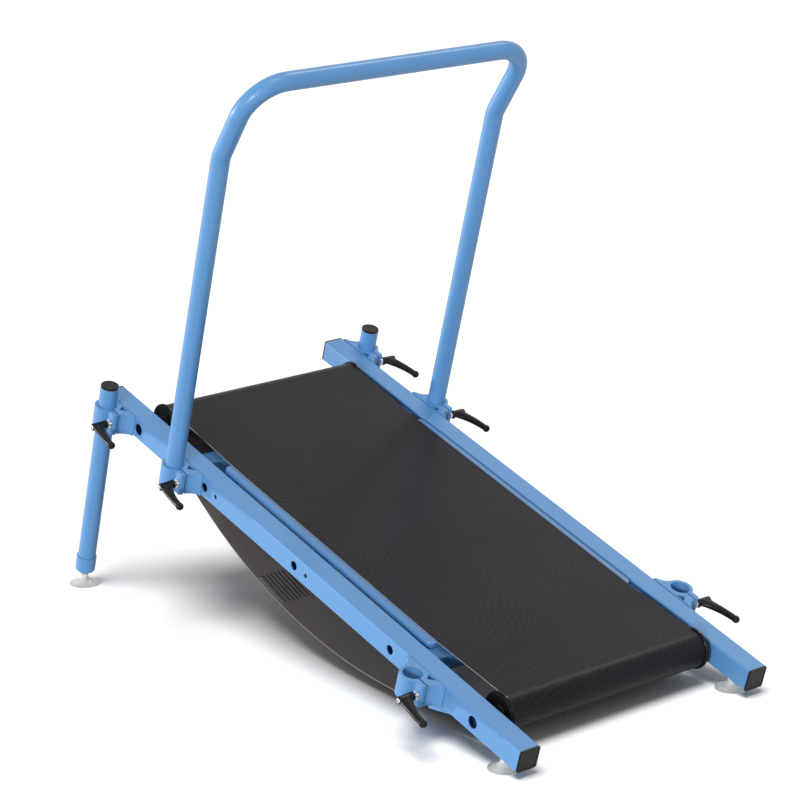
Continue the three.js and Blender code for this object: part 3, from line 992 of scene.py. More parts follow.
@dataclass(frozen=True)
class Coat(Finish):
    """Sprayed paint or moulded plastic: one colour, with a painted highlight along its edges, and
    a fine grain.
    """

    # The painted edge highlight's colour
    edge: int
    other: int
    # The painted edge highlight's strength and width
    highlight_amount: float = 0.3
    highlight_radius: float = 0.0010
    drift_scale: float = 5.0
    drift_amount: float = 0.25
    gloss: tuple[float, float] = (0.36, 0.44)
    gloss_scale: float = 14.0
    grain_scale: float = 900.0
    grain_strength: float = 0.12
    grain_depth: float = 0.0002
    coat: float = 0.0
    coat_roughness: float = 0.2
    specular: float = 0.5

    def surface(self, wiring: Wiring, effects: Effects) -> dict[str, object]:
        """Wires the drifting colour, the painted edge highlight and the grain.

        Args:
            wiring: the material's tree.
            effects: the shared shader groups.

        Returns:
            What feeds each socket of the shader.
        """
        place = wiring.place()
        drifted = effects.drift.on(
            wiring,
            Place=place,
            Colour=tint(self.colour),
            Other=tint(self.other),
            Scale=self.drift_scale,
            Amount=self.drift_amount,
        )
        # Paints a highlight along the edges
        highlighted = effects.edge.on(
            wiring,
            Colour=drifted,
            Edge=tint(self.edge),
            Radius=self.highlight_radius,
            Amount=self.highlight_amount,
        )
        feel = Feel(
            self.gloss, self.gloss_scale, self.grain_scale, self.grain_strength, self.grain_depth
        )
        return {
            **feel.wired(wiring, effects, place),
            "Base Color": highlighted,
            "Specular IOR Level": self.specular,
            "Coat Weight": self.coat,
            "Coat Roughness": self.coat_roughness,
        }


@dataclass(frozen=True)
class SlottedCoat(Coat):
    """A coat on a slotted sheet, with painted shade on the walls of its slots."""

    # The painted shade on the slots' walls
    wall: int = 0x080707

    def surface(self, wiring: Wiring, effects: Effects) -> dict[str, object]:
        """Wires the coat and paints shade on what the mesh marks as a slot's wall.

        Args:
            wiring: the material's tree.
            effects: the shared shader groups.

        Returns:
            What feeds each socket of the shader.
        """
        sockets = super().surface(wiring, effects)
        coat, wall = sockets["Base Color"], tint(self.wall)
        # Paints shade on the slots' walls
        sockets["Base Color"] = wiring.blend(wiring.mark("slot"), coat, wall)
        return sockets


@dataclass(frozen=True)
class BeltRubber(Finish):
    """The belt's rubber: wavy streaks bent about a point, a woven backing and a pale cut rim."""

    pale: int
    patch: int
    rim: int
    backing: int
    half_width: float
    heart: Point = (0.0, -0.36)
    pitch: float = 0.014
    wobble: float = 7.0
    wobble_detail: float = 2.0
    wobble_scale: float = 0.8
    cloud_scale: float = 6.0
    cloud_range: tuple[float, float] = (0.3, 0.6)
    drift_scale: float = 3.5
    drift_amount: float = 0.6
    gloss: tuple[float, float] = (0.34, 0.44)
    gloss_scale: float = 9.0
    grain_scale: float = 700.0
    streak_height: float = 0.3
    relief_depth: float = 0.0003
    relief_strength: float = 0.5
    sheen: float = 0.11

    def streaks(self, wiring: Wiring, flat: Socket) -> Socket:
        """Wires the wavy rings about the heart.

        Args:
            wiring: the material's tree.
            flat: the place on the flattened belt.

        Returns:
            The streaks' strength.
        """
        sockets = {
            "Vector": flat,
            "Scale": WAVE_PITCH / self.pitch,
            "Distortion": self.wobble,
            "Detail": self.wobble_detail,
            "Detail Scale": self.wobble_scale,
        }
        rings = {"wave_type": "RINGS", "rings_direction": "Z"}
        return wiring.add("ShaderNodeTexWave", sockets, **rings).outputs["Fac"]

    def surface(self, wiring: Wiring, effects: Effects) -> dict[str, object]:
        """Wires the streaks along the belt's run, the patches, the backing and the rims.

        Args:
            wiring: the material's tree.
            effects: the shared shader groups.

        Returns:
            What feeds each socket of the shader.
        """
        place = wiring.place()
        u = wiring.parts(place)[0]
        along = wiring.maths("SUBTRACT", wiring.mark("run"), self.heart[0])
        flat = wiring.vector(along, wiring.maths("SUBTRACT", u, self.heart[1]))
        streaks = self.streaks(wiring, flat)
        cloud = wiring.narrow(wiring.noise(flat, self.cloud_scale), *self.cloud_range)
        share = wiring.maths("MULTIPLY", streaks, cloud)
        drifted = effects.drift.on(
            wiring,
            Place=place,
            Colour=wiring.blend(share, tint(self.colour), tint(self.pale)),
            Other=tint(self.patch),
            Scale=self.drift_scale,
            Amount=self.drift_amount,
        )
        inside = wiring.maths("LESS_THAN", wiring.mark("depth"), 0.0)
        faced = wiring.blend(inside, drifted, tint(self.backing))
        beyond = wiring.maths("SUBTRACT", wiring.maths("ABSOLUTE", u), self.half_width)
        side = wiring.maths("GREATER_THAN", beyond, -TINY)
        fine = effects.grain.on(wiring, Place=place, Scale=self.grain_scale)
        raised = wiring.maths("MULTIPLY", streaks, self.streak_height)
        height = wiring.maths("ADD", raised, fine)
        return {
            "Base Color": wiring.blend(side, faced, tint(self.rim)),
            "Roughness": wiring.spread(wiring.noise(flat, self.gloss_scale), *self.gloss),
            "Specular IOR Level": self.sheen,
            "Normal": wiring.relief(height, self.relief_depth, self.relief_strength),
        }


@dataclass(frozen=True)
class TurnedMetal(Finish):
    """Bright metal with fine turning marks."""

    metallic: float = 1.0
    feel: Feel = Feel((0.2, 0.34), gloss_scale=220.0, grain_scale=600.0, grain_strength=0.2)

    def surface(self, wiring: Wiring, effects: Effects) -> dict[str, object]:
        """Wires the turning marks.

        Args:
            wiring: the material's tree.
            effects: the shared shader groups.

        Returns:
            What feeds each socket of the shader.
        """
        return {
            **self.feel.wired(wiring, effects, wiring.place()),
            "Base Color": tint(self.colour),
            "Metallic": self.metallic,
        }


@dataclass(frozen=True)
class ClearRubber(Finish):
    """Milky see-through rubber."""

    clearness: float = 0.3
    bending: float = 1.4
    feel: Feel = Feel((0.24, 0.34), gloss_scale=60.0, grain_scale=200.0, grain_strength=0.05)

    def surface(self, wiring: Wiring, effects: Effects) -> dict[str, object]:
        """Wires the milky body and its soft grain.

        Args:
            wiring: the material's tree.
            effects: the shared shader groups.

        Returns:
            What feeds each socket of the shader.
        """
        return {
            **self.feel.wired(wiring, effects, wiring.place()),
            "Base Color": tint(self.colour),
            "Transmission Weight": self.clearness,
            "IOR": self.bending,
        }


# Each coat's edge colour is a painted highlight along its edges
FINISHES: dict[Slot, Finish] = {
    Slot.BLUE: Coat(
        "blue_paint",
        0x5B93CA,
        edge=0xC2DAEE,
        other=0x558EC5,
        highlight_amount=0.45,
        coat=0.1,
        specular=0.4,
    ),
    Slot.BOARD: Coat(
        "board_plastic", 0x4B82B9, edge=0xAFD0EC, other=0x457CB3, gloss=(0.32, 0.4), coat=0.2
    ),
    Slot.BLACK: Coat(
        "black_plastic",
        0x131314,
        edge=0x5E5A56,
        other=0x19191A,
        highlight_amount=0.35,
        gloss=(0.22, 0.32),
        grain_strength=0.15,
        specular=0.15,
    ),
    Slot.BELT: BeltRubber(
        "belt_rubber",
        0x101011,
        pale=0x1C1C1F,
        patch=0x1E1D25,
        rim=0xB8B8BA,
        backing=0xA09488,
        half_width=Layout().belt_half,
    ),
    # The belly sheet's slot walls take painted shade
    Slot.BELLY: SlottedCoat(
        "belly_plastic",
        0x786E68,
        edge=0xB5AEA8,
        other=0x6C635D,
        highlight_amount=0.2,
        highlight_radius=0.0004,
        gloss=(0.45, 0.58),
        grain_strength=0.2,
    ),
    Slot.STEEL: TurnedMetal("steel", 0xC4C7CB),
    Slot.STUD: TurnedMetal(
        "amber_stud",
        0xC9A04A,
        metallic=0.55,
        feel=Feel((0.28, 0.4), gloss_scale=220.0, grain_scale=600.0, grain_strength=0.2),
    ),
    Slot.CUP: ClearRubber("clear_rubber", 0xF6F5F2),
}


class Rule(Wiring):
    """A geometry node tree with named inputs."""

    def __init__(self, name: str, inputs: dict[str, str]) -> None:
        """Makes the tree with its inputs, each given by name and socket type.

        Args:
            name: the tree's name.
            inputs: the socket type of each input, by name.
        """
        super().__init__(bpy.data.node_groups.new(name, "GeometryNodeTree"))
        kind = "NodeSocketGeometry"
        self.tree.interface.new_socket("Geometry", in_out="OUTPUT", socket_type=kind)
        whole = {"Geometry": kind, **inputs, "Material": "NodeSocketMaterial"}
        self.given = self.taken(whole)

    def node(self, kind: str, sockets: dict | None = None, **settings: object) -> Socket:
        """Adds a geometry node and gives its first output."""
        return self.add(f"GeometryNode{kind}", sockets, **settings).outputs[0]

    def marked(self, geometry: Socket, name: str, value: object, domain: str) -> Socket:
        """Keeps a number under a name on points or faces, for the finish to read."""
        sockets = {"Geometry": geometry, "Name": name, "Value": value}
        return self.node("StoreNamedAttribute", sockets, data_type="FLOAT", domain=domain)

    def give(self, geometry: Socket) -> None:
        """Ends the tree with real geometry that wears the given material.

        Args:
            geometry: what the tree has made.
        """
        real = self.node("RealizeInstances", {"Geometry": geometry})
        sockets = {"Geometry": real, "Material": self.given["Material"]}
        self.add("NodeGroupOutput", {0: self.node("SetMaterial", sockets)})

    def grown(self, start: Mesh, values: dict[str, object], wall: float = 0.0) -> Mesh:
        """Runs the tree.

        Args:
            start: the mesh that the tree starts from.
            values: the value of each named input.
            wall: the thickness given to an open skin, inwards.

        Returns:
            The plain mesh.
        """
        piece = stand(start)
        rule = piece.modifiers.new("rule", "NODES")
        rule.node_group = self.tree
        for item in self.tree.interface.items_tree:
            if item.in_out == "INPUT" and item.name in values:
                rule[item.identifier] = values[item.name]
        if wall:
            shell = piece.modifiers.new("shell", "SOLIDIFY")
            shell.thickness = wall
            shell.offset = -1
        return mesh_of(piece)


def line_mesh(points: Sequence[Sequence[float]], closed: bool) -> Mesh:
    """Gives a mesh of edges through the points.

    Args:
        points: the points in order.
        closed: whether the last joins the first.

    Returns:
        The mesh of edges.
    """
    count = len(points)
    edges = [(i, (i + 1) % count) for i in range(count if closed else count - 1)]
    mesh = bpy.data.meshes.new("drawn")
    mesh.from_pydata(points, edges, [])
    return mesh


# Sub-assemblies


@dataclass(frozen=True)
class Piece:
    """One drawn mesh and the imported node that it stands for."""

    node: str
    mesh: Mesh
    body: str
    slot: Slot


@dataclass
class SubAssembly(ABC):
    """Pieces that belong together.

    Attributes:
        slope: where the frame lies.
        layout: the sizes shared with the other sub-assemblies.
        materials: the material of each slot.
    """

    slope: Slope
    layout: Layout
    materials: dict[Slot, bpy.types.Material]

    @abstractmethod
    def build(self) -> Iterable[Piece]:
        """Draws the pieces."""

    def carried(self) -> dict[str, Slot]:
        """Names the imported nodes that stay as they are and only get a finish."""
        return {}

    def dress(self) -> None:
        """Builds every piece, gives it its finish and ties it to its body and node."""
        for piece in self.build():
            mesh = shaded(piece.mesh)
            mesh.materials.clear()
            mesh.materials.append(self.materials[piece.slot])
            shown = stand(mesh, f"fine_{piece.node}")
            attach(shown, piece.body)
            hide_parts(piece.node)
            self.report(shown, piece.node)
        for node, slot in self.carried().items():
            kept = frame["nodes"][node]
            kept.data.materials.clear()
            kept.data.materials.append(self.materials[slot])
            log.info("%s: kept", node)

    def report(self, shown: bpy.types.Object, node: str) -> None:
        """Logs a piece's triangles and how far its box lies from its node's box.

        Args:
            shown: the dressed object.
            node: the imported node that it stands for.
        """
        shown.data.calc_loop_triangles()
        points = [vertex.co for vertex in shown.data.vertices]
        low = Vector(min(point[i] for point in points) for i in range(3))
        high = Vector(max(point[i] for point in points) for i in range(3))
        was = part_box(node)
        off = max(abs(x) for x in (*(low - was[0]), *(high - was[1])))
        count = len(shown.data.loop_triangles)
        log.info("%s: %d triangles, %.2f mm off", node, count, off * MILLIMETRES)


@dataclass
class SideRails(SubAssembly):
    """The two square side rails with their drilled holes and end caps."""

    axle_hole: float = 0.013
    bearer_hole: float = 0.010
    pilot_hole: float = 0.005
    pilot_step: float = 0.0405
    cap_plug: float = 0.018
    cap_bevel: float = 0.0010
    cap_rim: float = 0.0045
    cap_recess: float = 0.0008
    cap_round_share: float = 0.3
    cap_sink_share: float = 1 / 3

    def rail(self, side: Side) -> Mesh:
        """Draws one rail, level.

        Args:
            side: the rail's side.

        Returns:
            The rail's mesh.
        """
        size = self.layout
        centre = (side.sign * size.rail_centre, size.rail_middle)
        loops = square_tube(centre, size.rail_side, size.rail_wall, size.rail_corner)
        stop = size.cap_thickness + FIT
        body = moved(prism(loops, stop - size.rail_length, -stop), ALONG)
        inside = size.rail_outer - size.rail_wall - OVERRUN
        holes = [(self.axle_hole, v) for v in size.roller_places.values()]
        holes += [(self.bearer_hole, v) for v in size.bearer_places]
        holes += [(self.pilot_hole, v - self.pilot_step) for v in size.bearer_places[1:]]
        bore = size.axle_radius + FIT
        tools = []
        for radius, v in holes:
            spot = Matrix.Translation((0, v, size.rail_middle))
            tools.append(moved(drill(radius, inside, size.rail_outer), spot, side.turn, ACROSS))
        for v in size.roller_places.values():
            spot = Matrix.Translation((0, v, size.rail_middle))
            wall = size.rail_inner + size.rail_wall
            passage = drill(bore, size.rail_inner - OVERRUN, wall)
            tools.append(moved(passage, spot, side.turn, ACROSS))
        foot = drill(size.foot_shank_radius + FIT, -size.rail_wall - OVERRUN, 0.0)
        spot = Matrix.Translation((centre[0], size.low_foot, -size.rail_side))
        tools.append(moved(foot, spot, Matrix.Rotation(math.pi, 4, "X")))
        return moved(cut(body, *tools), self.slope.at())

    def cap(self, side: Side, end: End) -> Mesh:
        """Draws one end cap: a plug, a rim and a sunk face.

        Args:
            side: the rail's side.
            end: the rail's end.

        Returns:
            The cap's mesh.
        """
        size = self.layout
        plug = size.rail_side - 2 * size.rail_wall - 2 * FIT
        full, bevel, thick = size.rail_side, self.cap_bevel, size.cap_thickness
        soft = self.cap_round_share * bevel
        inner = full - 2 * self.cap_rim
        corner = size.rail_corner
        steps = [
            (plug - 2 * bevel, corner / 2, thick + self.cap_plug),
            (plug, corner / 2, thick + self.cap_plug - bevel),
            (plug, corner / 2, thick),
            (full, corner, thick),
            (full, corner, bevel),
            (full - 2 * soft, corner - soft, soft),
            (full - 2 * bevel, corner - bevel, 0.0),
            (inner, corner / 2, 0.0),
            (inner - 2 * self.cap_recess, self.cap_sink_share * corner, self.cap_recess),
        ]
        rings = [
            [(x, y, -v) for x, y in rounded_rectangle((0, 0), width, width, radius)]
            for width, radius, v in steps
        ]
        v = 0.0 if end is End.LOW else size.rail_length
        place = self.slope.at(side.sign * size.rail_centre, v, size.rail_middle)
        return moved(loft(rings), place, ABOUT if end is End.HIGH else Matrix(), ALONG)

    def build(self) -> Iterable[Piece]:
        """Draws both rails and their four caps.

        Returns:
            The pieces.
        """
        for side in Side:
            yield Piece(f"rail_{side.value}", self.rail(side), "frame", Slot.BLUE)
            for end in End:
                node = f"rail_cap_{end.value}_{side.value}"
                yield Piece(node, self.cap(side, end), "frame", Slot.BLACK)


@dataclass
class DeckFrame(SubAssembly):
    """The walking board, the cross tubes and the bearers under the board."""

    cross_side: float = 0.040
    cross_wall: float = 0.0025
    cross_corner: float = 0.004
    low_cross_lead: float = 0.030
    high_cross_gap: float = 0.042
    board_corner: float = 0.014
    board_bevel: float = 0.004

    def cross_tube(self, start: float) -> Mesh:
        """Draws a cross tube whose near face lies at the given v.

        Args:
            start: the v of its near face.

        Returns:
            The tube's mesh.
        """
        half = self.layout.rail_inner - FIT
        centre = (start + self.cross_side / 2, self.layout.cross_top - self.cross_side / 2)
        loops = square_tube(centre, self.cross_side, self.cross_wall, self.cross_corner)
        return moved(prism(loops, -half, half), self.slope.at(), SIDEWAYS)

    def board(self) -> Mesh:
        """Draws the board with its rounded nose all round.

        Returns:
            The board's mesh.
        """
        size = self.layout
        length = size.deck_end - size.deck_start
        centre = (0.0, size.deck_start + length / 2)
        loop = rounded_rectangle(centre, 2 * size.deck_half, length, self.board_corner)
        low = size.deck_rise - size.deck_thickness
        return moved(prism([loop], low, size.deck_rise, self.board_bevel), self.slope.at())

    def build(self) -> Iterable[Piece]:
        """Draws the cross tubes and the board.

        Returns:
            The pieces.
        """
        low = self.layout.deck_start - self.low_cross_lead
        high = self.layout.deck_end + self.high_cross_gap
        yield Piece("cross_tube_low", self.cross_tube(low), "frame", Slot.BLUE)
        yield Piece("cross_tube_high", self.cross_tube(high), "frame", Slot.BLUE)
        yield Piece("deck_board", self.board(), "frame", Slot.BOARD)

    def carried(self) -> dict[str, Slot]:
        """Names the bearers, which the board and the belt hide."""
        return {f"deck_bearer_{i + 1}": Slot.BLUE for i in range(self.layout.bearer_count)}


@dataclass
class RunningBelt(SubAssembly):
    """The endless belt, swept along its path by a geometry node tree."""

    roller_steps: int = 48
    belly_steps: int = 72
    corner: float = 0.0006
    corner_steps: int = 3

    def path(self) -> Outline:
        """Gives the belt's middle line in v and w, from the middle of its underside.

        Returns:
            The line's points.
        """
        size = self.layout
        inset = size.belt_thickness / 2
        radius = size.roller_radius + FIT + inset
        top = size.deck_rise + FIT + inset
        under = size.belly_radius + size.belly_sheet + FIT + inset
        low, high = [(v, size.rail_middle) for v in size.roller_places.values()]
        belly = (size.belly_middle, size.belly_axis)
        low_corner, high_corner = (size.deck_start, top), (size.deck_end, top)
        low_under = tangent_angle(low, belly, under - radius, 1)
        high_under = tangent_angle(high, belly, under - radius, -1)
        low_top = tangent_angle(low_corner, low, radius, 1)
        high_top = tangent_angle(high_corner, high, radius, -1)
        full = 2 * math.pi
        half = self.belly_steps // 2
        return [
            *arc(belly, under, -QUARTER, high_under, half),
            *arc(high, radius, high_under, high_top % full, self.roller_steps),
            high_corner,
            low_corner,
            *arc(low, radius, low_top % full, low_under % full, self.roller_steps),
            *arc(belly, under, low_under, -QUARTER, half)[:-1],
        ]

    def rule(self) -> Rule:
        """Makes the tree that sweeps a flat, round-edged section along a closed path.

        Returns:
            The tree.
        """
        inputs = {
            "Width": "NodeSocketFloat",
            "Thickness": "NodeSocketFloat",
            "Corner": "NodeSocketFloat",
        }
        rule = Rule("belt_sweep", inputs)
        given = rule.given
        path = rule.node("MeshToCurve", {"Mesh": given["Geometry"]})
        whole = rule.node("CurveLength", {"Curve": path})
        gone = rule.add("GeometryNodeSplineParameter").outputs["Length"]
        run = rule.maths("SUBTRACT", gone, rule.maths("DIVIDE", whole, 2.0))
        flat = {"Width": given["Thickness"], "Height": given["Width"]}
        section = rule.node("CurvePrimitiveQuadrilateral", flat)
        sockets = {"Curve": section, "Radius": given["Corner"], "Count": self.corner_steps}
        soft = rule.node("FilletCurve", sockets, mode="POLY")
        depth = rule.parts(rule.node("InputPosition"))[0]
        sockets = {
            "Curve": rule.marked(path, "run", run, "POINT"),
            "Profile Curve": rule.marked(soft, "depth", depth, "POINT"),
        }
        rule.give(rule.node("CurveToMesh", sockets))
        return rule

    def build(self) -> Iterable[Piece]:
        """Draws the belt.

        Returns:
            The one piece.
        """
        path = line_mesh([(v, w, 0.0) for v, w in self.path()], closed=True)
        values = {
            "Width": 2 * self.layout.belt_half,
            "Thickness": self.layout.belt_thickness,
            "Corner": self.corner,
            "Material": self.materials[Slot.BELT],
        }
        mesh = moved(self.rule().grown(path, values), self.slope.at(), SIDEWAYS)
        yield Piece("running_belt", mesh, "frame", Slot.BELT)


@dataclass
class RollerSets(SubAssembly):
    """The two rollers with their end flanges and axles."""

    wall: float = 0.003
    web: float = 0.006
    flange_overhang: float = 0.004
    flange_thickness: float = 0.009
    flange_bevel: float = 0.0015
    hub_radius: float = 0.014
    neck_radius: float = 0.006
    neck: float = 0.008
    reach: float = 0.017
    axle_chamfer: float = 0.001
    step_depth: float = 0.0032
    step_width: float = 0.0035
    bead_start: float = 0.0042
    bead_end: float = 0.0090
    web_start: float = 0.0100
    web_depth: float = 0.0025
    hub_foot: float = 0.0030
    hub_shoulder: float = 0.0010
    sides: int = 96

    def roller(self) -> Mesh:
        """Draws a roller about the upright axis.

        Returns:
            The roller's mesh.
        """
        size = self.layout
        half, bore = size.belt_half, size.axle_radius + FIT
        inner, web = size.roller_radius - self.wall, half - self.web
        outside = [(bore, -half), (size.roller_radius, -half), (size.roller_radius, half)]
        inside = [(bore, half), (bore, web), (inner, web), (inner, -web), (bore, -web)]
        return lathe(outside + inside, self.sides)

    def flange(self) -> Mesh:
        """Draws an end flange: a stepped rim, a raised bead, a sunk web and a hub.

        Returns:
            The flange's mesh.
        """
        size = self.layout
        start = size.belt_half + FIT
        face, bevel = start + self.flange_thickness, self.flange_bevel
        rim = size.roller_radius + FIT + size.belt_thickness + self.flange_overhang
        bore, hub, end = size.axle_radius + FIT, self.hub_radius, size.rail_inner - FIT
        step, sunk = face - self.step_depth, face - self.web_depth
        profile = [
            (bore, start, 0.0),
            (rim - bevel, start, 0.0),
            (rim, start + bevel, SOFT),
            (rim, step, SOFT),
            (rim - self.step_width, step, TIGHT),
            (rim - self.bead_start, face, SOFT),
            (rim - self.bead_end, face, SOFT),
            (rim - self.web_start, sunk, TIGHT),
            (hub + self.hub_foot, sunk, SOFT),
            (hub + self.hub_shoulder, face, TIGHT),
            (hub, face, 0.0),
            (hub, end, SOFT),
            (bore, end, 0.0),
        ]
        return lathe(rounded(profile), self.sides)

    def axle(self) -> Mesh:
        """Draws an axle with a neck and a chamfer at each end.

        Returns:
            The axle's mesh.
        """
        tip = self.layout.rail_inner + self.layout.rail_wall + self.reach
        neck, thick, thin = tip - self.neck, self.layout.axle_radius, self.neck_radius
        chamfer = self.axle_chamfer
        end = [(thick, neck), (thin, neck), (thin, tip - chamfer), (thin - chamfer, tip)]
        start = [(radius, -height) for radius, height in reversed(end)]
        return lathe([(0, -tip), *start, *end, (0, tip)])

    def build(self) -> Iterable[Piece]:
        """Draws the pieces of both rollers.

        Returns:
            The pieces.
        """
        for end, v in self.layout.roller_places.items():
            place = self.slope.at(0, v, self.layout.rail_middle)
            word = end.value
            body = f"{word}_roller"
            yield Piece(f"roller_{word}", moved(self.roller(), place, ACROSS), body, Slot.STEEL)
            axle = moved(self.axle(), place, ACROSS)
            yield Piece(f"roller_axle_{word}", axle, "frame", Slot.STEEL)
            for side in Side:
                node = f"roller_flange_{word}_{side.value}"
                flange = moved(self.flange(), place, side.turn, ACROSS)
                yield Piece(node, flange, body, Slot.BLACK)


@dataclass
class BellySheet(SubAssembly):
    """The bent sheet under the deck, with louvre slots cut by a geometry node tree."""

    gap: float = 0.013
    louvre_shift: float = 0.138
    louvre_length: float = 0.092
    louvre_width: float = 0.004
    louvre_pitch: float = 0.0103
    louvre_inset: float = 0.004
    louvres: int = 9
    bend_rows: int = 97
    slot_round_share: float = 0.49
    slot_round_steps: int = 5

    def bent(self, rule: Rule) -> Socket:
        """Bends a flat sheet about an axis.

        Args:
            rule: the tree.

        Returns:
            The bent sheet.
        """
        given = rule.given
        width = rule.maths("MULTIPLY", given["Half width"], 2.0)
        size = rule.vector(width, given["Arc"], given["Thickness"])
        counts = {"Size": size, "Vertices X": 2, "Vertices Y": self.bend_rows, "Vertices Z": 2}
        flat = rule.node("MeshCube", counts)
        x, y, z = rule.parts(rule.node("InputPosition"))
        angle = rule.maths("DIVIDE", y, given["Radius"])
        middle = rule.maths("ADD", given["Radius"], rule.maths("DIVIDE", given["Thickness"], 2.0))
        reach = rule.maths("SUBTRACT", middle, z)
        along = rule.maths("MULTIPLY", reach, rule.maths("SINE", angle))
        drop = rule.maths("MULTIPLY", reach, rule.maths("COSINE", angle))
        spot = rule.vector(x, along, rule.maths("MULTIPLY", drop, -1.0))
        return rule.node("SetPosition", {"Geometry": flat, "Position": spot})

    def cutter(self, rule: Rule) -> Socket:
        """Draws the round-ended bar that cuts one slot, and marks the walls it leaves for the
        painted shade.

        Args:
            rule: the tree.

        Returns:
            The cutter.
        """
        wide, long, deep = rule.parts(rule.given["Slot size"])
        slot = rule.node("CurvePrimitiveQuadrilateral", {"Width": wide, "Height": long})
        radius = rule.maths("MULTIPLY", wide, self.slot_round_share)
        sockets = {"Curve": slot, "Radius": radius, "Count": self.slot_round_steps}
        section = rule.node("FilletCurve", sockets, mode="POLY")
        bottom = rule.vector(z=rule.maths("MULTIPLY", deep, -1.0))
        line = rule.node("CurvePrimitiveLine", {"Start": bottom, "End": rule.vector(z=deep)})
        sockets = {"Curve": line, "Profile Curve": section, "Fill Caps": True}
        return rule.marked(rule.node("CurveToMesh", sockets), "slot", 1.0, "FACE")

    def slots(self, rule: Rule) -> Socket:
        """Sets a row of cutters along each side of the sheet.

        Args:
            rule: the tree.

        Returns:
            All the cutters, in place.
        """
        given, cutter = rule.given, self.cutter(rule)
        joined = rule.add("GeometryNodeJoinGeometry")
        for sign in (-1.0, 1.0):
            row = {
                "Count": given["Slots"],
                "Start Location": rule.vector(rule.maths("MULTIPLY", given["First slot"], sign)),
                "Offset": rule.vector(rule.maths("MULTIPLY", given["Slot pitch"], -sign)),
            }
            points = rule.node("MeshLine", row)
            bars = rule.node("InstanceOnPoints", {"Points": points, "Instance": cutter})
            rule.feed(joined.inputs[0], bars)
        solid = rule.node("RealizeInstances", {"Geometry": joined.outputs[0]})
        return rule.node("Transform", {"Geometry": solid, "Translation": given["Slots at"]})

    def rule(self) -> Rule:
        """Makes the tree that bends a flat sheet about an axis and cuts rows of slots.

        Returns:
            The tree.
        """
        inputs = {
            "Half width": "NodeSocketFloat",
            "Arc": "NodeSocketFloat",
            "Radius": "NodeSocketFloat",
            "Thickness": "NodeSocketFloat",
            "Slots": "NodeSocketInt",
            "Slot size": "NodeSocketVector",
            "Slot pitch": "NodeSocketFloat",
            "First slot": "NodeSocketFloat",
            "Slots at": "NodeSocketVector",
        }
        rule = Rule("bent_sheet", inputs)
        sockets = {"Mesh 1": self.bent(rule), "Mesh 2": self.slots(rule)}
        rule.give(rule.node("MeshBoolean", sockets, operation="DIFFERENCE", solver="EXACT"))
        return rule

    def build(self) -> Iterable[Piece]:
        """Draws the sheet.

        Returns:
            The one piece.
        """
        size = self.layout
        half = size.rail_inner - self.gap
        radius = size.belly_radius
        drop = math.sqrt(radius**2 - self.louvre_shift**2)
        values = {
            "Half width": half,
            "Arc": 2 * radius * math.asin(size.belly_half_span / radius),
            "Radius": radius,
            "Thickness": size.belly_sheet,
            "Slots": self.louvres,
            "Slot size": (self.louvre_width, self.louvre_length, self.louvre_length / 2),
            "Slot pitch": self.louvre_pitch,
            "First slot": half - self.louvre_inset - self.louvre_width / 2,
            "Slots at": (0.0, self.louvre_shift, -drop),
            "Material": self.materials[Slot.BELLY],
        }
        start = bpy.data.meshes.new("drawn")
        place = self.slope.at(0, size.belly_middle, size.belly_axis)
        mesh = moved(self.rule().grown(start, values), place)
        yield Piece("belly_sheet", mesh, "frame", Slot.BELLY)

    def carried(self) -> dict[str, Slot]:
        """Names the hangers, plain bent plates that stay as they are."""
        ends = [(end.value, side.value) for end in End for side in Side]
        return {f"belly_hanger_{end}_{side}": Slot.BLUE for end, side in ends}


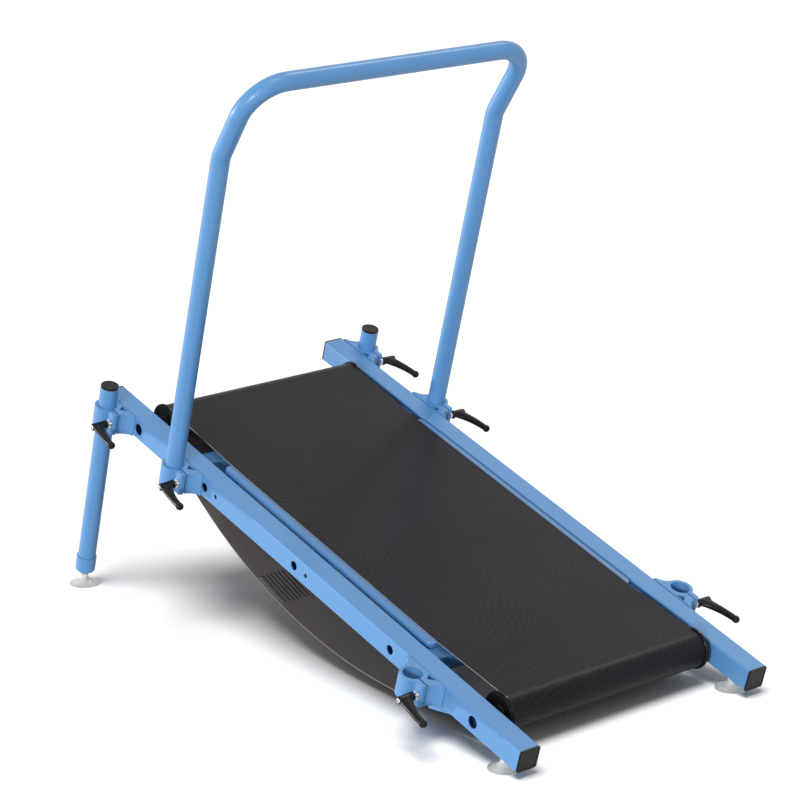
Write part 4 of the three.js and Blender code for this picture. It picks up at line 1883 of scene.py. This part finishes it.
@dataclass
class TubeClamps(SubAssembly):
    """The six tube clamps with their steel studs and clamping levers.

    Each is drawn for the right side, with x out from the rail's outer face, y along the
    rail from the tube's axis and z from the clamp's mid-height.
    """

    wall: float = 0.0072
    slot: float = 0.0035
    ear_wall: float = 0.01125
    ear_margin: float = 0.002
    ear_corner: float = 0.005
    heel_start: float = 0.025
    heel_waist: float = 0.0065
    heel_dip: float = 0.006
    flange_up: float = 0.051
    flange_down: float = 0.066
    flange_thickness: float = 0.008
    pocket_inset: float = 0.003
    pocket_depth: float = 0.014
    pocket_top: float = 0.017
    pocket_tip: float = 0.028
    pocket_bottom: float = 0.042
    wing_bend_share: float = 1.5
    tail_share: float = 0.25
    wing_steps: int = 12
    ring_steps: int = 40
    ear_steps: int = 8
    heel_steps: int = 18
    rim: float = 0.0007
    screw_radius: float = 0.005
    screw_bite: float = 0.0115
    washer_radius: float = 0.009
    washer_thickness: float = 0.003
    washer_gap: float = 0.0028
    collar_radius: float = 0.0065
    collar_length: float = 0.006
    hub_length: float = 0.036
    hub_root_radius: float = 0.0098
    hub_radius: float = 0.0082
    arm_inset: float = 0.014
    arm_reach: float = 0.080
    arm_lean: float = 0.0165
    arm_sweep: float = 0.003
    arm_shift: float = 0.003
    ball_radius: float = 0.0084
    button_radius: float = 0.0050
    button_height: float = 0.0018
    button_round: float = 0.0014
    socket_radius: float = 0.0022
    socket_depth: float = 0.0012
    pocket_tip_round: float = 0.0015
    hub_swell: float = 0.0004
    hub_waist: float = 0.012
    hub_bend: float = 0.010
    hub_round: float = 0.0012
    arm_skew_share: float = 0.2
    arm_sides: int = 32
    dimple_radius: float = 0.0017
    dimple_sink: float = 0.0002
    dimple_depth: float = 0.0008
    skin_grain: float = 0.0008
    skin_rounds: int = 6

    # Shares of the arm's length, with half the arm's width and half its thickness there
    arm_stations: tuple[Station, ...] = (
        (0.0, 0.0150, 0.0082),
        (0.12, 0.0138, 0.0080),
        (0.25, 0.0117, 0.0078),
        (0.4, 0.0099, 0.0075),
        (0.55, 0.0087, 0.0073),
        (0.75, 0.0079, 0.0070),
        (1.0, 0.0072, 0.0067),
    )

    @property
    def bore(self) -> float:
        """The radius of the bore that grips the tube."""
        return self.layout.tube_radius + FIT

    @property
    def ring(self) -> float:
        """The radius of the clamp's ring."""
        return self.bore + self.wall

    @property
    def ear_face(self) -> float:
        """The x of the outer ear's face."""
        return self.layout.clamp_reach + self.slot / 2 + self.ear_wall

    @property
    def screw_drop(self) -> float:
        """How far the screw lies from the tube's axis, along the rail."""
        shoulder = math.sqrt(self.ring**2 - (self.ear_face - self.layout.clamp_reach) ** 2)
        return shoulder + self.washer_radius + self.washer_gap

    @property
    def ear_drop(self) -> float:
        """How far the ears reach from the tube's axis."""
        return self.screw_drop + self.washer_radius + self.ear_margin

    @property
    def screw_place(self) -> Matrix:
        """Carries what is drawn about the screw to its place on the clamp."""
        return Matrix.Translation((0, -self.screw_drop, 0))

    @property
    def hub_root(self) -> float:
        """The x at which the lever's hub begins."""
        return self.ear_face + self.washer_thickness + self.collar_length + 2 * FIT

    def outline(self) -> Outline:
        """Gives the body's outline, with the bore and the slot as one bay.

        Returns:
            The outline's points.
        """
        reach, thick = self.layout.clamp_reach, self.flange_thickness
        centre = (reach, 0.0)
        tip = (thick, self.flange_up - thick / 2)
        hollow = (self.wing_bend_share * thick, self.ring + self.wall / 2)
        start = tangent_angle(hollow, centre, self.ring, -1)
        end = -math.acos((self.ear_face - reach) / self.ring)
        touch = arc(centre, self.ring, start, start, 1)[0]
        ear = (self.ear_face - self.ear_corner, self.ear_corner - self.ear_drop)
        near, far = reach - self.slot / 2, reach + self.slot / 2
        mouth = math.asin(self.slot / 2 / self.bore)
        foot = (self.heel_start, -self.ear_drop)
        waist = (self.heel_waist, -self.ear_drop - self.heel_dip)
        tail = (FIT + self.tail_share * thick, -self.flange_down)
        return [
            (FIT, self.flange_up),
            (FIT + thick / 2, self.flange_up),
            *bezier(tip, hollow, touch, self.wing_steps),
            *arc(centre, self.ring, start, end, self.ring_steps)[1:],
            *arc(ear, self.ear_corner, 0.0, -QUARTER, self.ear_steps),
            (far, -self.ear_drop),
            *arc(centre, self.bore, mouth - QUARTER, 3 * QUARTER - mouth, TUBE_SIDES),
            (near, -self.ear_drop),
            *bezier(foot, waist, tail, self.heel_steps),
            (FIT, -self.flange_down),
        ]

    def clamp(self) -> Mesh:
        """Draws the clamp's body.

        Returns:
            The body's mesh.
        """
        deep = self.pocket_inset + self.pocket_depth
        pocket = [
            (self.pocket_inset, -self.pocket_top, FULL),
            (self.pocket_inset, -self.pocket_bottom, FULL),
            (deep, -self.pocket_tip, self.pocket_tip_round),
        ]
        half = self.layout.rail_side / 2
        body = prism([self.outline(), rounded(pocket)], -half, half, self.rim)
        end = self.layout.clamp_reach - self.slot / 2 - self.screw_bite - FIT
        hole = drill(self.screw_radius + FIT, end, self.ear_face)
        return cut(body, moved(hole, self.screw_place, ACROSS))

    def stud(self) -> Mesh:
        """Draws the steel stud with its washer, its collar and a sunk button.

        Returns:
            The stud's mesh.
        """
        start = self.layout.clamp_reach - self.slot / 2 - self.screw_bite
        washer = self.ear_face + FIT
        top = washer + self.washer_thickness
        button = self.hub_root + self.hub_length + FIT
        cap = button + self.button_height
        floor = cap - self.socket_depth
        shaft, wide, collar = self.screw_radius, self.washer_radius, self.collar_radius
        profile = [
            (0, start, 0.0),
            (shaft, start, MILD),
            (shaft, washer, 0.0),
            (wide, washer, KEEN),
            (wide, top, EASED),
            (collar, top, KEEN),
            (collar, top + self.collar_length, TIGHT),
            (shaft, top + self.collar_length, 0.0),
            (self.button_radius, cap, self.button_round),
            (self.socket_radius, cap, CRISP),
            (self.socket_radius, floor, 0.0),
            (0, floor, 0.0),
        ]
        return moved(lathe(rounded(profile, closed=False)), self.screw_place, ACROSS)

    def arm(self, start: float) -> Mesh:
        """Draws the lever's arm, which leaves the hub about the given x.

        Args:
            start: the x of the arm's root.

        Returns:
            The arm's mesh.
        """
        rings = []
        for share, wide, thick in self.arm_stations:
            sweep = self.arm_sweep * math.sin(math.pi * share) - self.arm_shift * (1 - share) ** 2
            x, y = start + self.arm_lean * share + sweep, -self.arm_reach * share
            skew = self.arm_skew_share * wide
            ring = circle(1.0, self.arm_sides)
            rings.append([(x + wide * a, y + skew * a, thick * b) for a, b in ring])
        return loft(rings)

    def lever(self) -> Mesh:
        """Draws the lever: a hub melted together with a tapered arm and its ball.

        Returns:
            The lever's mesh.
        """
        root, top = self.hub_root, self.hub_root + self.hub_length
        hub = [
            (0, root, 0.0),
            (self.hub_root_radius, root, MILD),
            (self.hub_radius + self.hub_swell, root + self.hub_waist, self.hub_bend),
            (self.hub_radius, top, self.hub_round),
            (0, top, 0.0),
        ]
        start = top - self.arm_inset
        ball = arc((0.0, 0.0), self.ball_radius, -QUARTER, QUARTER, ROUND_SIDES // 2)
        spot = Matrix.Translation((start + self.arm_lean, -self.arm_reach, 0))
        solids = [
            moved(lathe(rounded(hub, closed=False)), ACROSS),
            self.arm(start),
            moved(lathe(ball), spot),
        ]
        skin = melted(solids, self.skin_grain, self.skin_rounds)
        bore, low, high = self.screw_radius + FIT, root - OVERRUN, top + OVERRUN
        core = lathe([(0, low), (bore, low), (bore, high), (0, high)])
        face = start + self.arm_lean + self.ball_radius - self.dimple_sink
        dimple = drill(self.dimple_radius, face - self.dimple_depth, face, KEEN)
        line = Matrix.Translation((0, -self.arm_reach, 0))
        mesh = cut(skin, moved(core, ACROSS), moved(dimple, line, ACROSS))
        return moved(mesh, self.screw_place)

    def build(self) -> Iterable[Piece]:
        """Draws the pieces of all six clamps.

        Returns:
            The pieces.
        """
        kinds = [
            ("clamp", self.clamp(), Slot.BLUE),
            ("clamp_stud", self.stud(), Slot.STEEL),
            ("clamp_lever", self.lever(), Slot.BLACK),
        ]
        for side in Side:
            u = side.sign * self.layout.rail_outer
            for seat, v in self.layout.clamp_places.items():
                place = self.slope.at(u, v, self.layout.rail_middle)
                for kind, mesh, slot in kinds:
                    turns = f"{side.value}_{seat.value}_lever"
                    body = "frame" if kind == "clamp" else turns
                    node = f"{kind}_{seat.value}_{side.value}"
                    yield Piece(node, moved(mesh.copy(), place, side.turn), body, slot)


@dataclass
class Handlebar(SubAssembly):
    """The bent round handlebar, swept by a geometry node tree."""

    crank_height: float = 0.725
    crank_angle: float = math.radians(19.5)
    bar_height: float = 0.907
    crank_bend: float = 0.055
    corner_bend: float = 0.085
    bend_steps: int = 24

    def rule(self) -> Rule:
        """Makes the tree that rounds a bent line and sweeps a circle along it.

        Returns:
            The tree.
        """
        rule = Rule("bent_tube", {"Radius": "NodeSocketFloat", "Sides": "NodeSocketInt"})
        given = rule.given
        path = rule.node("MeshToCurve", {"Mesh": given["Geometry"]})
        named = {"Name": "bend"}
        bend = rule.node("InputNamedAttribute", named, data_type="FLOAT")
        sockets = {"Curve": path, "Radius": bend, "Count": self.bend_steps}
        soft = rule.node("FilletCurve", sockets, mode="POLY")
        ring = {"Resolution": given["Sides"], "Radius": given["Radius"]}
        section = rule.node("CurvePrimitiveCircle", ring)
        rule.give(rule.node("CurveToMesh", {"Curve": soft, "Profile Curve": section}))
        return rule

    def build(self) -> Iterable[Piece]:
        """Draws the bar.

        Returns:
            The one piece.
        """
        size = self.layout
        v = size.clamp_places[Seat.HANDLE]
        back = math.tan(self.crank_angle) * (self.bar_height - self.crank_height)
        half = [
            (v, -size.rail_side),
            (v, self.crank_height),
            (v - back, self.bar_height),
        ]
        left = [(-size.tube_offset, a, b) for a, b in half]
        right = [(size.tube_offset, a, b) for a, b in reversed(half)]
        path = line_mesh(left + right, closed=False)
        bends = path.attributes.new("bend", "FLOAT", "POINT")
        crank, corner = self.crank_bend, self.corner_bend
        bends.data.foreach_set("value", [0.0, crank, corner, corner, crank, 0.0])
        values = {
            "Radius": size.tube_radius,
            "Sides": TUBE_SIDES,
            "Material": self.materials[Slot.BLUE],
        }
        mesh = self.rule().grown(path, values, size.tube_wall)
        yield Piece("handlebar", moved(mesh, self.slope.at()), "handle", Slot.BLUE)


@dataclass
class Legs(SubAssembly):
    """The two adjustable legs with their caps and foot sleeves."""

    rise: float = 0.050
    cap_thickness: float = 0.005
    cap_plug: float = 0.012
    cap_round: float = 0.0016
    cap_rim: float = 0.0038
    cap_rim_foot: float = 0.0046
    cap_recess: float = 0.0009
    sleeve_wall: float = 0.0022
    sleeve_length: float = 0.040
    sleeve_base: float = 0.006
    sleeve_round: float = 0.0090

    def foot(self, side: Side) -> float:
        """Gives the w of the sleeve's underside, above the ball it stands on.

        Args:
            side: the leg's side.

        Returns:
            The height w.
        """
        joint = f"{side.value}_leg_cup_swivel"
        found = next(each for each in frame["joints"] if each["name"] == joint)
        return self.slope.level(found["pos_m"]).z + self.layout.foot_rise

    def tube(self, side: Side) -> Mesh:
        """Draws the leg's tube.

        Args:
            side: the leg's side.

        Returns:
            The tube's mesh.
        """
        outer = self.layout.tube_radius
        inner = outer - self.layout.tube_wall
        low = self.foot(side) + self.sleeve_base + FIT
        top = self.rise - self.cap_thickness - FIT
        return lathe([(inner, low), (outer, low), (outer, top), (inner, top)], TUBE_SIDES)

    def cap(self) -> Mesh:
        """Draws the top cap: a plug, a rim and a sunk disc.

        Returns:
            The cap's mesh.
        """
        outer = self.layout.tube_radius
        plug = outer - self.layout.tube_wall - FIT
        base, sunk = self.rise - self.cap_thickness, self.rise - self.cap_recess
        profile = [
            (0, base - self.cap_plug, 0.0),
            (plug, base - self.cap_plug, FULL),
            (plug, base, 0.0),
            (outer, base, KEEN),
            (outer, self.rise, self.cap_round),
            (outer - self.cap_rim, self.rise, TIGHT),
            (outer - self.cap_rim_foot, sunk, CRISP),
            (0, sunk, 0.0),
        ]
        return lathe(rounded(profile, closed=False), TUBE_SIDES)

    def sleeve(self, side: Side) -> Mesh:
        """Draws the sleeve that closes the leg's foot.

        Args:
            side: the leg's side.

        Returns:
            The sleeve's mesh.
        """
        inner = self.layout.tube_radius + FIT
        outer, hole = inner + self.sleeve_wall, self.layout.foot_shank_radius + FIT
        low = self.foot(side)
        top = low + self.sleeve_length
        profile = [
            (hole, low, 0.0),
            (outer, low, self.sleeve_round),
            (outer, top, MILD),
            (inner, top, KEEN),
            (inner, low + self.sleeve_base, 0.0),
            (hole, low + self.sleeve_base, 0.0),
        ]
        return lathe(rounded(profile), TUBE_SIDES)

    def build(self) -> Iterable[Piece]:
        """Draws the pieces of both legs.

        Returns:
            The pieces.
        """
        v = self.layout.clamp_places[Seat.LEG]
        for side in Side:
            place = self.slope.at(side.sign * self.layout.tube_offset, v)
            word, body = side.value, f"{side.value}_leg"
            yield Piece(f"leg_{word}", moved(self.tube(side), place), body, Slot.BLUE)
            yield Piece(f"leg_cap_{word}", moved(self.cap(), place), body, Slot.BLACK)
            yield Piece(f"leg_sleeve_{word}", moved(self.sleeve(side), place), body, Slot.BLUE)


@dataclass
class Feet(SubAssembly):
    """The four foot studs and the suction cups that swivel on their balls."""

    pivot_height: float = 0.024
    ball_radius: float = 0.0055
    flange_radius: float = 0.008
    flange_thickness: float = 0.0025
    thread: float = 0.010
    cup_radius: float = 0.035
    cup_lip: float = 0.0016
    cup_lip_width: float = 0.005
    neck_radius: float = 0.0085
    neck_height: float = 0.016
    shoulder: float = 0.0048
    hollow_radius: float = 0.009
    hollow_height: float = 0.008
    hollow_spread: float = 0.006
    flange_round: float = 0.0007
    flange_gap: float = 0.001
    socket_depth: float = 0.001
    socket_start: float = -0.15
    rim_width: float = 0.0006
    rim_height: float = 0.0005
    ball_steps: int = 20
    hollow_steps: int = 16
    outer_steps: int = 28
    socket_steps: int = 14
    sides: int = 72

    def stud(self) -> Mesh:
        """Draws a stud about its ball's centre.

        Returns:
            The stud's mesh.
        """
        shank, seat = self.layout.foot_shank_radius, self.layout.foot_rise - FIT
        rise = math.asin(shank / self.ball_radius)
        ball = arc((0.0, 0.0), self.ball_radius, -QUARTER, QUARTER - rise, self.ball_steps)
        top, under = self.layout.foot_rise + self.thread, seat - self.flange_thickness
        upper = [
            (shank, under - self.flange_gap, 0.0),
            (shank, under, KEEN),
            (self.flange_radius, under, self.flange_round),
            (self.flange_radius, seat, TIGHT),
            (shank, seat, 0.0),
            (shank, top, MILD),
            (0, top, 0.0),
        ]
        return lathe([(0, -self.ball_radius), *ball[1:], *rounded(upper, closed=False)])

    def cup(self) -> Mesh:
        """Draws a suction cup about its ball's centre, with its lip on the floor.

        Returns:
            The cup's mesh.
        """
        floor, socket = -self.pivot_height, self.ball_radius + FIT
        lip = (self.cup_radius, floor + self.cup_lip)
        bend = (self.neck_radius + self.hollow_radius, floor + self.shoulder)
        neck = (self.neck_radius, floor + self.neck_height)
        crown = [
            (*neck, 0.0),
            (self.neck_radius, 0.0, MILD),
            (socket, 0.0, TIGHT),
            (socket, -self.socket_depth, 0.0),
        ]
        inside = (0.0, floor + self.hollow_height)
        vault = (self.hollow_radius + self.hollow_spread, floor + self.hollow_height)
        foot = (self.cup_radius - self.cup_lip_width, floor)
        profile = [
            *bezier(inside, vault, foot, self.hollow_steps),
            (self.cup_radius - self.rim_width, floor),
            (self.cup_radius, floor + self.rim_height),
            *bezier(lip, bend, neck, self.outer_steps)[:-1],
            *rounded(crown, closed=False)[:-1],
            *arc((0.0, 0.0), socket, self.socket_start, -QUARTER, self.socket_steps)[:-1],
            (0.0, -socket),
        ]
        return lathe(profile, self.sides)

    def build(self) -> Iterable[Piece]:
        """Draws the studs and the cups.

        Returns:
            The pieces.
        """
        joints = {joint["name"]: joint for joint in frame["joints"]}
        for side in Side:
            for seat in (Seat.LOW, Seat.LEG):
                ball = Vector(joints[f"{side.value}_{seat.value}_cup_swivel"]["pos_m"])
                carrier = "frame" if seat is Seat.LOW else f"{side.value}_leg"
                stud = moved(self.stud(), self.slope.at(*self.slope.level(ball)))
                node = f"foot_stud_{seat.value}_{side.value}"
                yield Piece(node, stud, carrier, Slot.STUD)
                cup = moved(self.cup(), Matrix.Translation(ball))
                node = f"suction_cup_{seat.value}_{side.value}"
                yield Piece(node, cup, f"{side.value}_{seat.value}_cup", Slot.CUP)


# The studio


@dataclass(frozen=True)
class Lamp:
    """A sun: how strong and how soft it is, and which way its light goes."""

    name: str
    strength: float
    angle: float
    shine: tuple[float, float, float]
    floor_only: bool = False

    def hang(self, floor: bpy.types.Object) -> None:
        """Hangs the lamp.

        Args:
            floor: the floor, which the lamp lights alone or else leaves out.
        """
        data = bpy.data.lights.new(self.name, "SUN")
        data.energy = self.strength
        data.angle = self.angle
        lamp = stand(data, self.name)
        lamp.rotation_mode = "QUATERNION"
        lamp.rotation_quaternion = Vector(self.shine).to_track_quat("-Z", "Y")
        reach = bpy.data.collections.new(f"{self.name}_reach")
        reach.objects.link(floor)
        state = "INCLUDE" if self.floor_only else "EXCLUDE"
        reach.collection_objects[0].light_linking.link_state = state
        lamp.light_linking.receiver_collection = reach
        lamp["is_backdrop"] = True


@dataclass(frozen=True)
class Studio:
    """A pale floor in a white room, lit from the left, and the camera."""

    eye: tuple[float, float, float] = (-3.5128, -4.3122, 2.1760)
    target: tuple[float, float, float] = (0.0, 0.0170, 0.5192)
    roll: float = math.radians(-0.508)
    lens: float = 123.916
    sensor: float = 36.0
    far: float = 1000.0
    floor_half: float = 60.0
    floor_colour: float = 0.95
    floor_bounce: float = 0.45
    floor_roughness: float = 0.9
    sky: float = 0.34
    lamps: tuple[Lamp, ...] = (
        Lamp("key", 2.0, math.radians(12), (1.0, 0.6, -0.27)),
        Lamp("rim", 1.6, math.radians(5), (0.6, -0.8, -0.05)),
        Lamp("top", 0.65, math.radians(20), (0.05, 0.4, -1.0)),
        Lamp("strip", 0.5, math.radians(6), (-0.6, -0.12, -0.8)),
        Lamp("drop", 2.9, math.radians(30), (0.35, 0.2, -1.0), floor_only=True),
    )

    def camera(self) -> None:
        """Sets up the camera."""
        data = bpy.data.cameras.new("camera")
        data.lens = self.lens
        data.sensor_width = self.sensor
        data.clip_end = self.far
        camera = stand(data, "camera")
        camera.rotation_mode = "QUATERNION"
        camera.location = self.eye
        look = (Vector(self.target) - Vector(self.eye)).to_track_quat("-Z", "Y")
        camera.rotation_quaternion = look @ Quaternion((0, 0, 1), self.roll)
        bpy.context.scene.camera = camera

    def floor(self) -> bpy.types.Object:
        """Lays the floor and gives it back.

        Returns:
            The floor, for the lamps that light it or leave it out.
        """
        half = self.floor_half
        corners = [(-half, -half, 0), (half, -half, 0), (half, half, 0), (-half, half, 0)]
        mesh = bpy.data.meshes.new("floor")
        mesh.from_pydata(corners, [], [(0, 1, 2, 3)])
        material = bpy.data.materials.new("floor")
        material.use_nodes = True
        wiring = Wiring(material.node_tree)
        shader = material.node_tree.nodes["Principled BSDF"]
        dull, pale = grey(self.floor_bounce), grey(self.floor_colour)
        settings = {
            "Base Color": wiring.blend(wiring.seen(), dull, pale),
            "Roughness": self.floor_roughness,
            "Specular IOR Level": 0.0,
        }
        for key, value in settings.items():
            wiring.feed(shader.inputs[key], value)
        mesh.materials.append(material)
        floor = stand(mesh, "floor")
        floor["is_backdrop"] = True
        return floor

    def world(self) -> None:
        """Fills the room with even light, and shows it white to the camera."""
        world = bpy.data.worlds.new("room")
        world.use_nodes = True
        wiring = Wiring(world.node_tree)
        back = world.node_tree.nodes["Background"]
        wiring.feed(back.inputs["Color"], grey(1.0))
        wiring.feed(back.inputs["Strength"], wiring.spread(wiring.seen(), self.sky, 1.0))
        bpy.context.scene.world = world

    def build(self) -> None:
        """Sets up the whole studio."""
        self.camera()
        self.world()
        floor = self.floor()
        for lamp in self.lamps:
            lamp.hang(floor)
        bpy.context.scene.view_settings.view_transform = "Standard"


def write_sizes() -> None:
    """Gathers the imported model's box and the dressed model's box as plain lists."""
    boxes = {"cad": cad_box, "visual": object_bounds()}
    plain = {name: [list(corner) for corner in box] for name, box in boxes.items()}


def main() -> None:
    """Builds and dresses every sub-assembly, then the studio."""
    logging.basicConfig(level=logging.INFO, format="%(name)s %(message)s")
    layout = Layout()
    slope = Slope.of_joints(frame["joints"], layout)
    effects = Effects.made()
    materials = {slot: finish.material(effects) for slot, finish in FINISHES.items()}
    kinds: list[Callable[..., SubAssembly]] = [
        SideRails,
        DeckFrame,
        RunningBelt,
        RollerSets,
        BellySheet,
        TubeClamps,
        Handlebar,
        Legs,
        Feet,
    ]
    for kind in kinds:
        kind(slope, layout, materials).dress()
    Studio().build()
    write_sizes()


if __name__ == "__main__":
    main()
